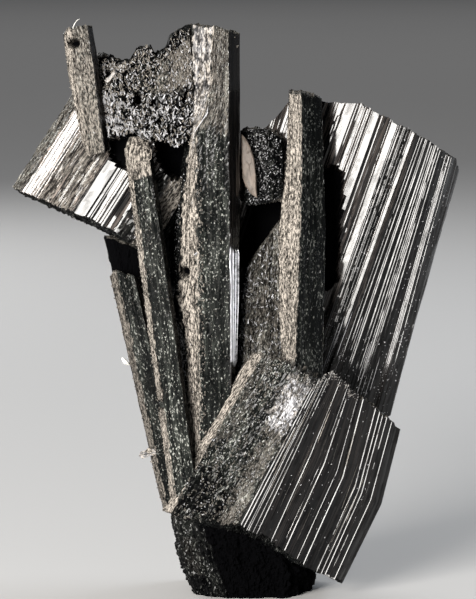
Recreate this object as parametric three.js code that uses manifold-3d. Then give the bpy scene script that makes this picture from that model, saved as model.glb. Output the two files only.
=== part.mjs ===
// Arfvedsonite specimen: a miniature cluster of intergrown striated prisms, in
// millimetres, +Z up, -Y toward the front. One fused solid holds every grown
// crystal and the broken root it stands on; a loose flake and a loose grain lie
// on it as two small solids of their own.
import * as THREE from 'three';
import { ConvexGeometry } from 'three/addons/geometries/ConvexGeometry.js';
import { mergeVertices } from 'three/addons/utils/BufferGeometryUtils.js';
import Module from 'manifold-3d';

const wasm = await Module();
wasm.setup();
const { Manifold, Mesh } = wasm;

// ---------------------------------------------------------------- dimensions
// Every crystal is a set of long edges. Each edge is a list of [x, y, z] points
// from its lower end to its upper end; the edges go round the crystal from its
// left side, over the front and the right side, to the back.
const EDGES = {
  tall_prism: [
    [[-4.32, -1.8, 8.02], [-4.66, -2, 22.01], [-5.28, -1.9, 26.5], [-5.08, -1.9, 34.57],
      [-4.18, -2, 41.36], [-4.09, -2, 43.67], [-4.08, -2, 46.15], [-4.08, -2, 51.02]],
    [[-3.41, -3.2, 8.08], [-3.48, -3.4, 22.18], [-3.56, -3.4, 26.66], [-3.73, -3.4, 34.69],
      [-3.81, -3.3, 41.43], [-2.83, -3.5, 43.74], [-2.3, -3.5, 46.21], [-2.21, -3.4, 50.96]],
    [[-0.63, -3.4, 8.11], [-0.62, -3.6, 22.2], [-0.62, -3.6, 26.68], [-0.71, -3.6, 34.71],
      [-0.8, -3.6, 41.45], [-0.8, -3.6, 43.74], [-0.79, -3.6, 46.22], [-0.79, -3.5, 50.44]],
    [[-0.36, -2.2, 7.91], [-0.18, -2.2, 22.04], [0, -2.1, 26.52], [0.18, -1.9, 34.57],
      [0.18, -1.9, 41.35], [0.18, -1.9, 43.66], [0.18, -1.9, 46.15], [0.18, -1.9, 50.22]],
    [[-0.73, 2.7, 7.08], [-0.45, 2.8, 21.43], [-0.27, 2.8, 26.01], [-0.18, 2.7, 34.21],
      [-0.18, 2.6, 41.1], [-0.18, 2.6, 43.45], [-0.18, 2.6, 45.97], [-0.27, 2.4, 49.93]],
    [[-5.11, 2.4, 7.32], [-6, 2.6, 21.46], [-6.36, 2.6, 26.03], [-6.16, 2.6, 34.22],
      [-4.69, 2.5, 41.11], [-4.15, 2.4, 43.46], [-3.96, 2.3, 45.99], [-3.78, 2.2, 50.48]],
  ],
  long_prism: [
    [[-5.97, -2.7, 7.99], [-10.08, -2.7, 39.98]],
    [[-5.5, -3.8, 8], [-9.46, -3.9, 38.63]],
    [[-3.48, -4.6, 8.04], [-7.78, -3.9, 39.16]],
    [[-3.27, -3.2, 8.17], [-7.59, -2.6, 39.97]],
    [[-3.7, -0.8, 7.95], [-8.22, -0.5, 41.01]],
    [[-5.65, -0.8, 7.95], [-9.65, -0.5, 41.54]],
  ],
  leaning_prism: [
    [[-13.76, -0.7, 40.03], [-14.5, -0.8, 43.43], [-15.15, -0.9, 46.55], [-15.52, -1, 50.02]],
    [[-13.17, -2.1, 39.41], [-13.85, -2.2, 43.41], [-14.5, -2.3, 46.61], [-14.87, -2.4, 50.59]],
    [[-11.83, -2.2, 39.77], [-12.34, -2.3, 43.51], [-12.72, -2.4, 46.7], [-13.36, -2.5, 50.94]],
    [[-11.39, -0.9, 39.96], [-11.9, -1, 43.53], [-12.29, -1.1, 46.74], [-12.93, -1.2, 50.74]],
    [[-11.78, 1.2, 40.01], [-12.29, 0.9, 43.53], [-12.71, 0.6, 46.68], [-13.31, 0.3, 50.7]],
    [[-13.49, 1.2, 39.83], [-14.18, 0.9, 43.44], [-14.77, 0.6, 46.59], [-15.19, 0.3, 50.35]],
  ],
  outer_prism: [
    [[-6.76, -1.4, 7.32], [-11.5, -0.4, 28.42]],
    [[-6.29, -2.6, 7.43], [-10.91, -1.7, 29.09]],
    [[-4.48, -3, 7.86], [-9.29, -1.9, 28.66]],
    [[-3.96, -1.6, 7.99], [-8.8, -0.6, 28.26]],
    [[-4.36, 0.9, 7.94], [-9.22, 1.4, 28.24]],
    [[-6.45, 0.9, 7.39], [-11.21, 1.5, 28.42]],
  ],
  ridge_prism: [
    [[4.03, -2.4, 18.63], [3.66, -2.4, 26.56], [3.56, -2.4, 32.83],
      [4.09, -2.3, 36.83], [4.36, -2.2, 40.83], [4.53, -2.2, 45.1]],
    [[4.97, -4.8, 18.23], [5.32, -4.7, 26.8], [5.48, -4.6, 33.01],
      [5.56, -4.5, 36.99], [5.65, -4.4, 40.96], [5.55, -4.3, 45.01]],
    [[7.53, -2.2, 18.06], [7.69, -2.1, 26.52], [7.85, -2, 32.79],
      [7.66, -2, 36.81], [7.56, -1.9, 40.82], [7.46, -1.9, 44.46]],
    [[7.25, 1.4, 17.95], [7.41, 1.4, 26.16], [7.58, 1.4, 32.51],
      [7.48, 1.4, 36.57], [7.38, 1.4, 40.63], [7.28, 1.4, 44.41]],
    [[4.35, 1.4, 18.13], [4.16, 1.4, 26.16], [4.06, 1.4, 32.51],
      [4.41, 1.4, 36.57], [4.68, 1.4, 40.63], [4.85, 1.4, 44.76]],
  ],
  left_block: [
    [[-20.37, 2.8, 36.29], [-12.62, 2.8, 48.31]],
    [[-19.44, 1, 36.11], [-11.74, 1, 48.09]],
    [[-16.89, 0.3, 35.03], [-9.39, 0.3, 46.78]],
    [[-14.79, -0.3, 34.31], [-7.41, -0.3, 45.73]],
    [[-12.99, -0.7, 33.67], [-5.71, -0.7, 44.94]],
    [[-9.48, -1.2, 31.56], [-2.41, -1.2, 42.92]],
    [[-7.88, -1, 30.82], [-1.07, -1, 41.84]],
    [[-7.23, 1.6, 30.13], [-0.54, 1.6, 41.16]],
    [[-7.89, 6.3, 30.07], [-1.1, 6.3, 41.27]],
    [[-11.64, 8.6, 31.71], [-4.42, 8.6, 43.53]],
    [[-18.08, 8.4, 34.69], [-10.29, 8.4, 47.03]],
    [[-20.4, 6, 35.88], [-12.57, 6, 48.12]],
  ],
  shaded_neck: [
    [[-10.83, 0.8, 26.94], [-12, 1.4, 31.96]],
    [[-10.26, 0, 26.85], [-11.33, 0.4, 31.69]],
    [[-8.28, 0, 27.03], [-8.81, 0.2, 30.8]],
    [[-6.79, 1.8, 27.02], [-6.69, 2, 31.73]],
    [[-6.4, 4.8, 26.9], [-6.4, 5.2, 31.64]],
    [[-10.79, 4.8, 26.72], [-11.99, 5.6, 31.42]],
  ],
  reeded_block: [
    [[-4.37, 3, 20.95], [2.17, 3, 41.35]],
    [[-2.81, 1.7, 20.47], [4.59, 1.7, 44.03]],
    [[-0.9, 0.9, 19.75], [7.63, 0.9, 44.16]],
    [[0.36, 0.4, 18.99], [9.4, 0.4, 43.91]],
    [[1.63, 0.2, 17.93], [11.1, 0.2, 43.92]],
    [[4.25, 0.6, 16.69], [13.27, 0.6, 42.69]],
    [[7.27, 1.7, 15.62], [16.21, 1.7, 40.97]],
    [[11.34, 3.6, 14.52], [18.59, 3.6, 39.51]],
    [[13.98, 5.4, 15.01], [19.84, 5.4, 38.58]],
    [[13.89, 7.6, 15.07], [20.31, 7.6, 37.33]],
    [[11.37, 9.6, 15.17], [18.69, 9.8, 38.67]],
    [[4.85, 10.2, 16.59], [12.22, 10.4, 41.97]],
    [[-2.79, 8.8, 19.59], [4.79, 9, 43.15]],
  ],
  front_block: [
    [[-6.74, -2.2, 7.73], [-2.87, -2.7, 15.33], [1.16, -3, 21.77]],
    [[-5.99, -4.2, 7.7], [-1.87, -4.4, 15.04], [2.22, -4.4, 21.94]],
    [[-3.1, -6.8, 7.43], [0.8, -6.65, 14.74], [4.41, -6.3, 21.28]],
    [[0, -9, 7.45], [3.6, -8.45, 14.21], [6.68, -7.8, 19.88]],
    [[2.11, -8.7, 6.42], [5.54, -8.1, 13.89], [8.54, -7.3, 20.61]],
    [[5.49, -7.3, 3.75], [9.02, -6.8, 11.55], [10.78, -6.2, 18.33]],
    [[8.19, -5.8, 2.03], [11.39, -5.2, 9.13], [13.33, -4.8, 16.26]],
    [[9.39, -4.4, 1.4], [12.78, -3.9, 8.28], [14.47, -3.5, 15]],
    [[9.79, -0.4, 1.37], [13.05, 0.1, 8.35], [14.58, 0.6, 14.31]],
    [[7.34, 3.4, 1.58], [10.46, 4, 9.09], [13.01, 4.2, 15.55]],
    [[0.18, 4.6, 4.71], [4.78, 5, 11.91], [8.45, 5.2, 17.82]],
    [[-5.12, 2.6, 6.55], [-1.46, 3, 14.05], [2.19, 3, 20.31]],
  ],
  recessed_prism: [
    [[-0.09, 0.4, 19.17], [0.45, 0.5, 26.25], [0.81, 0.9, 29.11]],
    [[0.36, -0.9, 19.16], [0.9, -0.6, 26.37], [1.26, -0.1, 29.57]],
    [[4.14, -1, 19.17], [4.13, -0.6, 26.37], [4.13, 0.1, 33.88]],
    [[4.37, 3, 18.84], [4.36, 3, 25.99], [4.35, 3, 33.92]],
    [[0, 3, 19.02], [0.45, 3, 25.99], [0.82, 3, 29.18]],
  ],
  dark_block: [
    [[0.18, -0.1, 35.42], [0.27, 0, 41.43]],
    [[0.81, -0.8, 35.11], [0.89, -0.7, 41.55]],
    [[2.86, -0.9, 35.3], [2.68, -0.8, 41.65]],
    [[4.13, -0.1, 35.69], [3.85, 0, 40.89]],
    [[4.45, 3.4, 35.52], [4.26, 3.4, 40.88]],
    [[0.18, 3.4, 35.25], [0.27, 3.4, 41.33]],
  ],
  broken_crown: [
    [[-11.79, -0.6, 42.17], [-12.32, -0.5, 45.02], [-12.52, 0.4, 47.94]],
    [[-11.05, -1.5, 41.06], [-11.3, -1.6, 44.54], [-11.24, -0.4, 48.14]],
    [[-9.6, -2.1, 41.18], [-9.76, -2.4, 44.57], [-9.71, -0.8, 48.24]],
    [[-7.82, -2.2, 40.75], [-7.98, -2.6, 44.58], [-8.01, -0.8, 48.86]],
    [[-5.86, -2.4, 40.31], [-6.03, -2.7, 44.76], [-6.23, -0.8, 49.66]],
    [[-3.91, -2.2, 41.55], [-3.99, -2.4, 45.81], [-4.27, -0.8, 50.99]],
    [[-3.43, 2.8, 42], [-3.79, 2.8, 45.61], [-4.05, 2.2, 50.57]],
    [[-6.04, 6.4, 41.26], [-6.57, 6.2, 44.74], [-7.06, 4, 48.27]],
    [[-10.78, 6.2, 41.09], [-11.49, 6, 44.75], [-11.4, 3.8, 47.37]],
  ],
  root_mass: [
    [[-3.4, -3.3, -1.2], [-4.86, -2.4, 3.02], [-5.77, -1.5, 6.88]],
    [[-0.4, -4.7, -1.2], [-2.14, -4.9, 3.3], [-3.39, -4.5, 7.21]],
    [[4.1, -4.4, -1.2], [4.46, -5.4, 3.03], [2.66, -6.4, 5.74]],
    [[6.1, -1.5, -1.2], [7.04, -1.6, 1.96], [7.55, -3, 2.4]],
    [[5.6, 4.3, -1.2], [6.81, 4.2, 1.8], [7.33, 3, 2.77]],
    [[2, 6.1, -1.2], [2.22, 6.2, 1.43], [2.21, 5.2, 5.36]],
    [[-2.4, 4.6, -1.2], [-3.59, 4.6, 1.73], [-4.4, 3.2, 6.63]],
    [[-3.8, 0.6, -1.2], [-5.19, 0.8, 2.43], [-5.99, 0.5, 6.9]],
  ],
};

// For each crystal: the pitch and depth of the reeds on each face (mm, one
// [pitch, depth] pair per face in the order of the edges), how ragged the two
// ends are, how far the middle of each end stands out, how far the ground inside
// each end strays (mm) and, for rough ones, their rows and the height of the bumps.
const PLAIN = [1.3, 0.05];
const FINISH = {
  tall_prism: {
    reeds: [[0.45, 0.08], [0.5, 0.09], [0.5, 0.1], [1.6, 0.1], [1.5, 0.12], [1.6, 0.1]],
    ragged: [0.1, 0.5], dome: [0, 0.15], broken: [0, 0.5],
  },
  long_prism: {
    reeds: [[0.4, 0.06], [0.4, 0.08], [0.5, 0.05], [0.9, 0.08], [0.8, 0.06], [0.9, 0.08]],
    ragged: [0.1, 0.12], dome: [0, 0.1],
  },
  leaning_prism: {
    reeds: [[0.4, 0.07], [0.38, 0.08], [0.5, 0.06], [0.8, 0.08], [0.8, 0.07], [0.8, 0.08]],
    ragged: [0.12, 0.4], dome: [-0.2, 0.1], broken: [0, 0.35],
  },
  outer_prism: {
    reeds: [[0.4, 0.07], [0.42, 0.08], [0.5, 0.05], [0.9, 0.08], [0.8, 0.07], [0.9, 0.08]],
    ragged: [0.15, 0.25], dome: [0, 0.1],
  },
  ridge_prism: {
    reeds: [[0.42, 0.09], [0.38, 0.1], [0.9, 0.1], [1.0, 0.08], [0.9, 0.1]],
    ragged: [0.2, 0.5], dome: [0, 0.1], broken: [0, 0.4],
  },
  left_block: {
    reeds: [[0.5, 0.14], [0.36, 0.14], [0.33, 0.12], [0.36, 0.15], [0.38, 0.15], [0.4, 0.12],
      [0.9, 0.1], [1.0, 0.2], [0.75, 0.25], [0.7, 0.25], [0.75, 0.25], [1.0, 0.2]],
    ragged: [0.16, 0.4], dome: [-0.35, 0.3], broken: [0.5, 0.6],
  },
  shaded_neck: {
    reeds: Array(6).fill([1.0, 0.2]), ragged: [0.4, 0.1], dome: [0.2, 0], rough: [2, 0.3],
  },
  reeded_block: {
    reeds: [[0.42, 0.14], [0.42, 0.15], [0.36, 0.16], [0.34, 0.14], [0.4, 0.17], [0.42, 0.18],
      [0.44, 0.18], [0.6, 0.15], [0.8, 0.2], [0.8, 0.25], [0.75, 0.28], [0.7, 0.28],
      [0.9, 0.2]],
    ragged: [0.3, 0.22], dome: [0, -0.2], broken: [0.7, 0.6],
  },
  front_block: {
    reeds: [[0.5, 0.08], [0.9, 0.08], [0.8, 0.1], [0.36, 0.12], [0.36, 0.15], [0.36, 0.16],
      [0.42, 0.14], [0.8, 0.15], [0.9, 0.2], [0.8, 0.25], [0.8, 0.25], [0.9, 0.2]],
    ragged: [0.22, 0.3], dome: [-0.5, 0.3], broken: [0.6, 0.6],
  },
  recessed_prism: {
    reeds: [[0.5, 0.08], [0.6, 0.12], PLAIN, PLAIN, PLAIN], ragged: [0.1, 0.2], dome: [0, 0.1],
    rough: [4, 0.14],
  },
  dark_block: {
    reeds: [[0.6, 0.1], [0.55, 0.12], [0.6, 0.12], PLAIN, PLAIN, PLAIN],
    ragged: [0.2, 0.16], dome: [0, 0.1], rough: [5, 0.16],
  },
  broken_crown: {
    reeds: [[0.8, 0.1], [0.6, 0.1], [0.6, 0.1], [0.6, 0.1], [0.7, 0.1], [1.4, 0.1], [1.5, 0.1],
      [1.5, 0.1], [1.4, 0.1]],
    ragged: [0.3, 0.6], dome: [0, 0.5], broken: [0, 0.9], rough: [8, 0.7],
  },
  root_mass: {
    reeds: Array(8).fill([1.1, 0.2]), ragged: [0, 0.1], dome: [0, 0.2], rough: [6, 0.5],
  },
};

// Growth laths: thin strips raised on a face. [crystal, face, from, to across
// the face, start, end along it, height in mm]
const LATHS = [
  ['tall_prism', 1, 0.05, 0.3, 0.02, 0.52, 0.13],
  ['tall_prism', 1, 0.35, 0.5, 0.3, 0.93, 0.09],
  ['tall_prism', 0, 0.15, 0.6, 0.74, 0.96, 0.14],
  ['long_prism', 1, 0.1, 0.4, 0.05, 0.6, 0.1],
  ['leaning_prism', 1, 0.15, 0.5, 0.05, 0.7, 0.1],
  ['outer_prism', 1, 0.2, 0.5, 0.1, 0.8, 0.1],
  ['ridge_prism', 0, 0.2, 0.55, 0.1, 0.62, 0.12],
  ['ridge_prism', 1, 0.25, 0.5, 0.05, 0.8, 0.12],
  ['left_block', 3, 0.1, 0.55, 0.0, 0.62, 0.18],
  ['reeded_block', 2, 0.35, 0.8, 0.3, 0.99, 0.18],
  ['reeded_block', 3, 0.3, 0.6, 0.45, 0.97, 0.16],
  ['reeded_block', 4, 0.15, 0.4, 0.35, 1.0, 0.2],
  ['reeded_block', 5, 0.1, 0.35, 0.2, 0.95, 0.2],
  ['front_block', 3, 0.2, 0.7, 0.04, 0.9, 0.14],
  ['front_block', 4, 0.1, 0.32, 0.0, 0.8, 0.2],
  ['front_block', 4, 0.55, 0.8, 0.1, 0.95, 0.18],
  ['front_block', 5, 0.15, 0.4, 0.02, 0.7, 0.2],
];

// Broken, lumpy ground: clusters of blunt grains and pointed splinters.
// `along` is the line the grains are strewn on, `spread` how far off it they
// fall, `size` their radii from and to, `lean` the direction splinters point.
const LUMPS = [
  { // the broken crown over the left block
    along: [[-11.63, 0.4, 46.77], [-11.24, -0.9, 42.72], [-9.85, 0.6, 47.3], [-9.44, -1.4, 42.75], [-8.23, 0.6, 47.84], [-7.66, -1.6, 42.05], [-6.98, 0.4, 47.85], [-6.41, -1.6, 41.51], [-5.54, 0, 48.93], [-5.16, -1.8, 42.06], [-4.64, 0, 50], [-4.45, -1.8, 43.48]],
    spread: [0.55, 0.7, 0.5], count: 19, size: [0.5, 1.15],
    splinters: 0.3, lean: [0.2, -0.3, 1],
  },
  { // the back of the broken crown
    along: [[-12.11, 3.4, 47.21], [-9.81, 5, 46.79], [-7.05, 3.6, 47.38], [-4.67, 2, 49.23], [-4.34, 3.4, 45.04], [-8.03, 6.2, 44.37], [-2.92, 6, 42.56]],
    spread: [0.9, 1.2, 0.9], count: 4, size: [1, 1.9],
    splinters: 0.15, lean: [0.3, 0.2, 1],
  },
  { // grains on the dark block
    along: [[0.71, -0.6, 40.74], [2.14, -0.8, 40.22], [3.4, -0.5, 39.84], [1.07, -0.7, 38.42], [2.86, -0.8, 37.53], [2.15, -0.8, 36.1]],
    spread: [0.35, 0.25, 0.5], count: 5, size: [0.22, 0.5],
    splinters: 0.2, lean: [0, -0.3, 1],
  },
  { // jagged top of the tall prism
    along: [[-3.91, -1, 50.55], [-2.31, -1.8, 50.75], [-1.06, -1.8, 50.22], [-0.18, -0.6, 49.83], [-1.43, 1.4, 50.14], [-3.58, 1.2, 50.32]],
    spread: [0.3, 0.5, 0.3], count: 6, size: [0.3, 0.6],
    splinters: 0.7, lean: [0.02, 0, 1],
  },
  { // jagged top of the leaning prism
    along: [[-15.21, -1, 49.85], [-14.2, -1.6, 50.48], [-13.24, -1.2, 50.38], [-14.09, -0.2, 50.36]],
    spread: [0.25, 0.4, 0.25], count: 4, size: [0.25, 0.42],
    splinters: 0.7, lean: [-0.12, 0, 1],
  },
  { // jagged top of the ridge prism
    along: [[4.8, -1.6, 44.72], [5.58, -3, 44.6], [6.57, -2, 44.56], [7.23, -0.8, 44.15], [5.55, 0.4, 44.45]],
    spread: [0.3, 0.4, 0.3], count: 5, size: [0.28, 0.5],
    splinters: 0.7, lean: [0.02, 0, 1],
  },
  { // broken upper edge of the front block
    along: [[2.13, -4.2, 21.56], [4.25, -5.8, 20.87], [5.99, -7, 20.31], [7.04, -7.4, 19.65], [8.64, -6.8, 19.93], [10.8, -5.8, 18.01], [12.99, -4.4, 16.38], [14.22, -3.2, 14.95]],
    spread: [0.45, 0.5, 0.4], count: 13, size: [0.28, 0.62],
    splinters: 0.45, lean: [0.38, -0.1, 0.9],
  },
  { // bright broken knot under the ridge prism
    along: [[4.24, -6.2, 20.2], [5.46, -7.2, 19.62], [6.5, -7.9, 18.83], [5.28, -7.6, 18.08], [4.58, -7, 18.89]],
    spread: [0.35, 0.3, 0.35], count: 7, size: [0.3, 0.55],
    splinters: 0.5, lean: [0.38, -0.2, 0.9],
  },
  { // coarse foot of the front block
    along: [[-6.08, -3.6, 8.69], [-4.64, -4.6, 9.94], [-3.37, -6, 8.37], [-2.13, -6.4, 9.33], [-5.17, -4.6, 8.13], [-0.88, -8, 8.35], [-3.02, -5.6, 11.36], [-4.1, -4.2, 12.58]],
    spread: [0.5, 0.35, 0.45], count: 10, size: [0.3, 0.7],
    splinters: 0.2, lean: [0.38, -0.2, 0.9],
  },
  { // crumb of splinters on the outer prism
    along: [[-8.29, -1, 12.91], [-7.66, -1.2, 12.57]],
    spread: [0.2, 0.3, 0.25], count: 4, size: [0.2, 0.32],
    splinters: 0.6, lean: [-0.5, -0.3, 0.6],
  },
  { // rubble round the root
    along: [[-5.21, -2.6, 6.34], [-4.67, -3.2, 3.53], [-2.86, -4.4, 2.3], [-0.71, -4.8, 2.92], [2.14, -5, 2.6], [4.83, -4.4, 2.12], [6.33, -1, 1.66], [6.08, 4.2, 1.06], [2.22, 6, 1.47], [-2.95, 4.6, 1.73], [-4.93, 1.6, 2.28], [-4.75, 2.4, 4.91], [0.18, 5, 4.27], [5.7, 4, 2.96]],
    spread: [0.6, 0.6, 1], count: 14, size: [0.5, 1.15],
    splinters: 0.35, lean: [-0.35, -0.1, 1],
  },
  { // broken lower edge of the reeded block
    along: [[-3.06, 8.6, 19.24], [2.05, 9.6, 17.42], [7.64, 9.6, 15.55], [12.77, 7.2, 15.13], [13.62, 5.6, 14.79]],
    spread: [0.6, 0.7, 0.5], count: 6, size: [0.5, 0.9],
    splinters: 0.5, lean: [-0.36, 0.1, -0.9],
  },
  { // grown-together ground behind the prisms
    along: [[-5.63, 3, 30.55], [-3.83, 4, 25.88], [-2.19, 4.4, 22.16], [1.1, 5, 16.55], [-1.1, 4.6, 12.9], [-3.48, 3.4, 9.38]],
    spread: [1, 1, 0.9], count: 6, size: [0.9, 1.7],
    splinters: 0.2, lean: [0.2, 0.2, 1],
  },
];

// Pits: [crystal, face, across, along, radius, depth]
const PITS = [
  ['leaning_prism', 1, 0.06, 0.9, 0.34, 0.5],
  ['tall_prism', 0, 0.45, 0.42, 0.3, 0.4], ['tall_prism', 1, 0.7, 0.3, 0.22, 0.22],
  ['tall_prism', 1, 0.25, 0.62, 0.2, 0.2], ['long_prism', 0, 0.4, 0.24, 0.3, 0.35],
  ['front_block', 2, 0.25, 0.7, 0.42, 0.4], ['front_block', 1, 0.6, 0.3, 0.4, 0.35],
  ['front_block', 2, 0.5, 0.15, 0.38, 0.3], ['front_block', 5, 0.45, 0.3, 0.2, 0.25],
  ['reeded_block', 5, 0.5, 0.12, 0.25, 0.3],
  ['ridge_prism', 1, 0.6, 0.3, 0.24, 0.25],
  ['left_block', 5, 0.4, 0.3, 0.3, 0.3],
  ['reeded_block', 10, 0.5, 0.5, 0.5, 0.5], ['left_block', 9, 0.5, 0.6, 0.5, 0.5],
];

// Corners of the deep hollow under the crown, between the prisms that meet there.
const HOLLOW = [
  [-7.67, -4.5, 40.52], [-4.23, -4.5, 40.7], [-4.77, -4.5, 37.34], [-5.92, -4.5, 37.17],
  [-7.23, 2.6, 39.66], [-4.8, 3.2, 39.8], [-5.06, 2.6, 37.85], [-5.96, 2.4, 37.68],
];

const FLAKE = {
  // outline of the leaf, seen from the front: [x, z]
  outline: [
    [0.31, 41.33], [0.71, 40.88], [1.11, 40.17], [1.43, 39.19], [1.61, 37.67],
    [1.7, 35.62], [1.16, 35.97], [0.71, 36.6], [0.4, 37.4], [0.31, 39.01],
  ],
  y: -1.5, // its middle plane
  thick: 0.26,
  rim: 0.12, // how far the back and front faces are drawn in from the rim
  tilt: 0.1, // how much nearer the front its right side stands, per mm
};
const GRAIN = { at: [-10.14, -1, 20.85], radii: [0.46, 0.2, 0.19], lean: 0.75 };

const FLOOR_Z = 0; // the root reaches below this and is cut flat here to stand
const GROUND_MM = 90; // side of the block that cuts the flat foot
const WELD_MM = 0.004; // slivers thinner than this are merged away
const MERGE_MM = 1e-5; // vertices nearer than this are one
const HULL_POINTS = 7;
const GOLDEN_ANGLE = Math.PI * (3 - Math.sqrt(5));
const NEARBY = 0.02; // share of an edge's length over which its direction is read
// A lath's root below the face, the share of the face its ends take to rise,
// how far its top is drawn in from its sides and how much lower its far side is.
const LATH_SHAPE = { sunk: 0.25, taper: 0.012, inset: 0.18, slope: 0.8 };
// A splinter's corners: two sides as shares of its width, then of its length.
const SPLINTER_CORNERS = [
  [1, 0.5, -0.5], [-0.9, 0.6, -0.5], [-1, -0.5, -0.5], [0.8, -0.6, -0.5],
  [0.7, 0.4, 0.3], [-0.6, 0.4, 0.42], [-0.6, -0.4, 0.5], [0.5, -0.4, 0.36],
];
const INNER_POINTS = 9;
const SEED = 20422;

// ------------------------------------------------------------------- helpers
/** A repeatable stream of numbers from 0 to 1. */
function stream(seed) {
  let state = seed >>> 0;
  return () => {
    state = (state + 0x6d2b79f5) >>> 0;
    let t = Math.imul(state ^ (state >>> 15), 1 | state);
    t = (t + Math.imul(t ^ (t >>> 7), 61 | t)) ^ t;
    return ((t ^ (t >>> 14)) >>> 0) / 4294967296;
  };
}
const vec = (p) => new THREE.Vector3(p[0], p[1], p[2]);
const between = (rand, low, high) => low + (high - low) * rand();

/** The point at a share of a line's length. */
function pointAlong(line, share) {
  const points = line.map(vec);
  const steps = points.slice(1).map((p, i) => p.distanceTo(points[i]));
  let left = share * steps.reduce((a, b) => a + b, 0);
  for (let i = 0; i < steps.length; i++) {
    if (left <= steps[i] || i === steps.length - 1) {
      return points[i].clone().lerp(points[i + 1], left / steps[i]);
    }
    left -= steps[i];
  }
  return points[0];
}

/** A place on a face of a crystal, with the directions along it and out of it. */
function onFace(lines, face, across, along) {
  const one = lines[face];
  const two = lines[(face + 1) % lines.length];
  const p = pointAlong(one, along).lerp(pointAlong(two, along), across);
  const up = pointAlong(one, Math.min(along + NEARBY, 1))
    .sub(pointAlong(one, Math.max(along - NEARBY, 0)));
  const side = pointAlong(two, along).sub(pointAlong(one, along)).normalize();
  const out = side.clone().cross(up).normalize();
  return { p, up: up.normalize(), out };
}

/** A solid from a closed geometry. */
function solidOf(geometry) {
  geometry.deleteAttribute('normal');
  geometry.deleteAttribute('uv');
  const closed = geometry.index ? geometry : mergeVertices(geometry, MERGE_MM);
  return new Manifold(new Mesh({
    numProp: 3,
    vertProperties: Float32Array.from(closed.attributes.position.array),
    triVerts: Uint32Array.from(closed.index.array),
  }));
}

/** A closed solid from rings of points. Each end is closed by a fan, or over an
 * uneven inner ring when `broken` gives how far that ring's points stray. */
function loft(rings, domes, broken = [0, 0], rand = null) {
  const count = rings[0].length;
  const points = rings.flat();
  const triangles = [];
  for (let r = 0; r + 1 < rings.length; r++) {
    for (let i = 0; i < count; i++) {
      const a = r * count + i;
      const b = r * count + ((i + 1) % count);
      triangles.push([a, b, b + count], [a, b + count, a + count]);
    }
  }
  const middle = (ring) => ring.reduce((s, p) => s.add(p), new THREE.Vector3()).divideScalar(count);
  const ends = [rings[0], rings[rings.length - 1]];
  const [low, high] = ends.map(middle);
  const axis = high.clone().sub(low).normalize();
  ends.forEach((ring, end) => {
    const outward = end ? 1 : -1;
    const first = end ? (rings.length - 1) * count : 0;
    const face = (a, b, c) => triangles.push(end ? [a, b, c] : [a, c, b]);
    const centre = (end ? high : low).clone().addScaledVector(axis, outward * domes[end]);
    const tip = points.push(centre) - 1;
    if (!broken[end]) {
      for (let i = 0; i < count; i++) face(tip, first + i, first + ((i + 1) % count));
      return;
    }
    const inner = [];
    for (let k = 0; k < INNER_POINTS; k++) {
      const at = Math.floor((k * count) / INNER_POINTS);
      const p = ring[at].clone().lerp(centre, between(rand, 0.3, 0.55))
        .addScaledVector(axis, outward * between(rand, -1, 0.4) * broken[end]);
      inner.push({ at, index: points.push(p) - 1 });
    }
    inner.forEach((one, k) => {
      const next = inner[(k + 1) % INNER_POINTS];
      const stop = k + 1 < INNER_POINTS ? next.at : count;
      const turn = Math.ceil((one.at + stop) / 2);
      for (let i = one.at; i < stop; i++) {
        const near = i < turn ? one.index : next.index;
        face(near, first + i, first + ((i + 1) % count));
      }
      face(one.index, first + turn % count, next.index);
      face(tip, one.index, next.index);
    });
  });
  const geometry = new THREE.BufferGeometry().setFromPoints(points);
  return solidOf(geometry.setIndex(triangles.flat()));
}

/** A line cut again into equal rows. */
const recut = (line, rows) => Array.from({ length: rows + 1 }, (_, i) => {
  const p = pointAlong(line, i / rows);
  return [p.x, p.y, p.z];
});

/** A crystal from its long edges, with reeded or rough faces and ragged ends. */
function crystal(edges, finish, rand) {
  const [rows, bump] = finish.rough ?? [0, 0];
  const lines = rows ? edges.map((line) => recut(line, rows)) : edges;
  const stations = lines[0].length;
  const middle = (s) => lines.reduce((sum, l) => sum.add(vec(l[s])), new THREE.Vector3())
    .divideScalar(lines.length);
  const axis = middle(stations - 1).sub(middle(0)).normalize();
  const rings = Array.from({ length: stations }, () => []);
  lines.forEach((line, i) => {
    const next = lines[(i + 1) % lines.length];
    const [pitch, depth] = finish.reeds[i];
    const width = vec(line[0]).distanceTo(vec(next[0]));
    const strips = Math.max(1, Math.round(width / pitch));
    for (let k = 0; k < strips; k++) {
      const share = k === 0 ? 0 : (k + between(rand, -0.3, 0.3)) / strips;
      const sink = k === 0 ? 0 : depth * (k % 2 ? between(rand, 0.6, 1) : between(rand, -0.25, 0.25));
      const ends = [between(rand, -1, 1) * finish.ragged[0], between(rand, -1, 1) * finish.ragged[1]];
      for (let s = 0; s < stations; s++) {
        const out = onFace(lines, i, share, s / (stations - 1)).out;
        const p = vec(line[s]).lerp(vec(next[s]), share).addScaledVector(out, -sink);
        if (bump) p.addScaledVector(out, between(rand, -1, 0.7) * bump).addScaledVector(axis, between(rand, -0.5, 0.5) * bump);
        if (s === 0) p.addScaledVector(axis, ends[0]);
        if (s === stations - 1) p.addScaledVector(axis, ends[1]);
        rings[s].push(p);
      }
    }
  });
  return loft(rings, finish.dome, finish.broken ?? [0, 0], rand);
}

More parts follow.
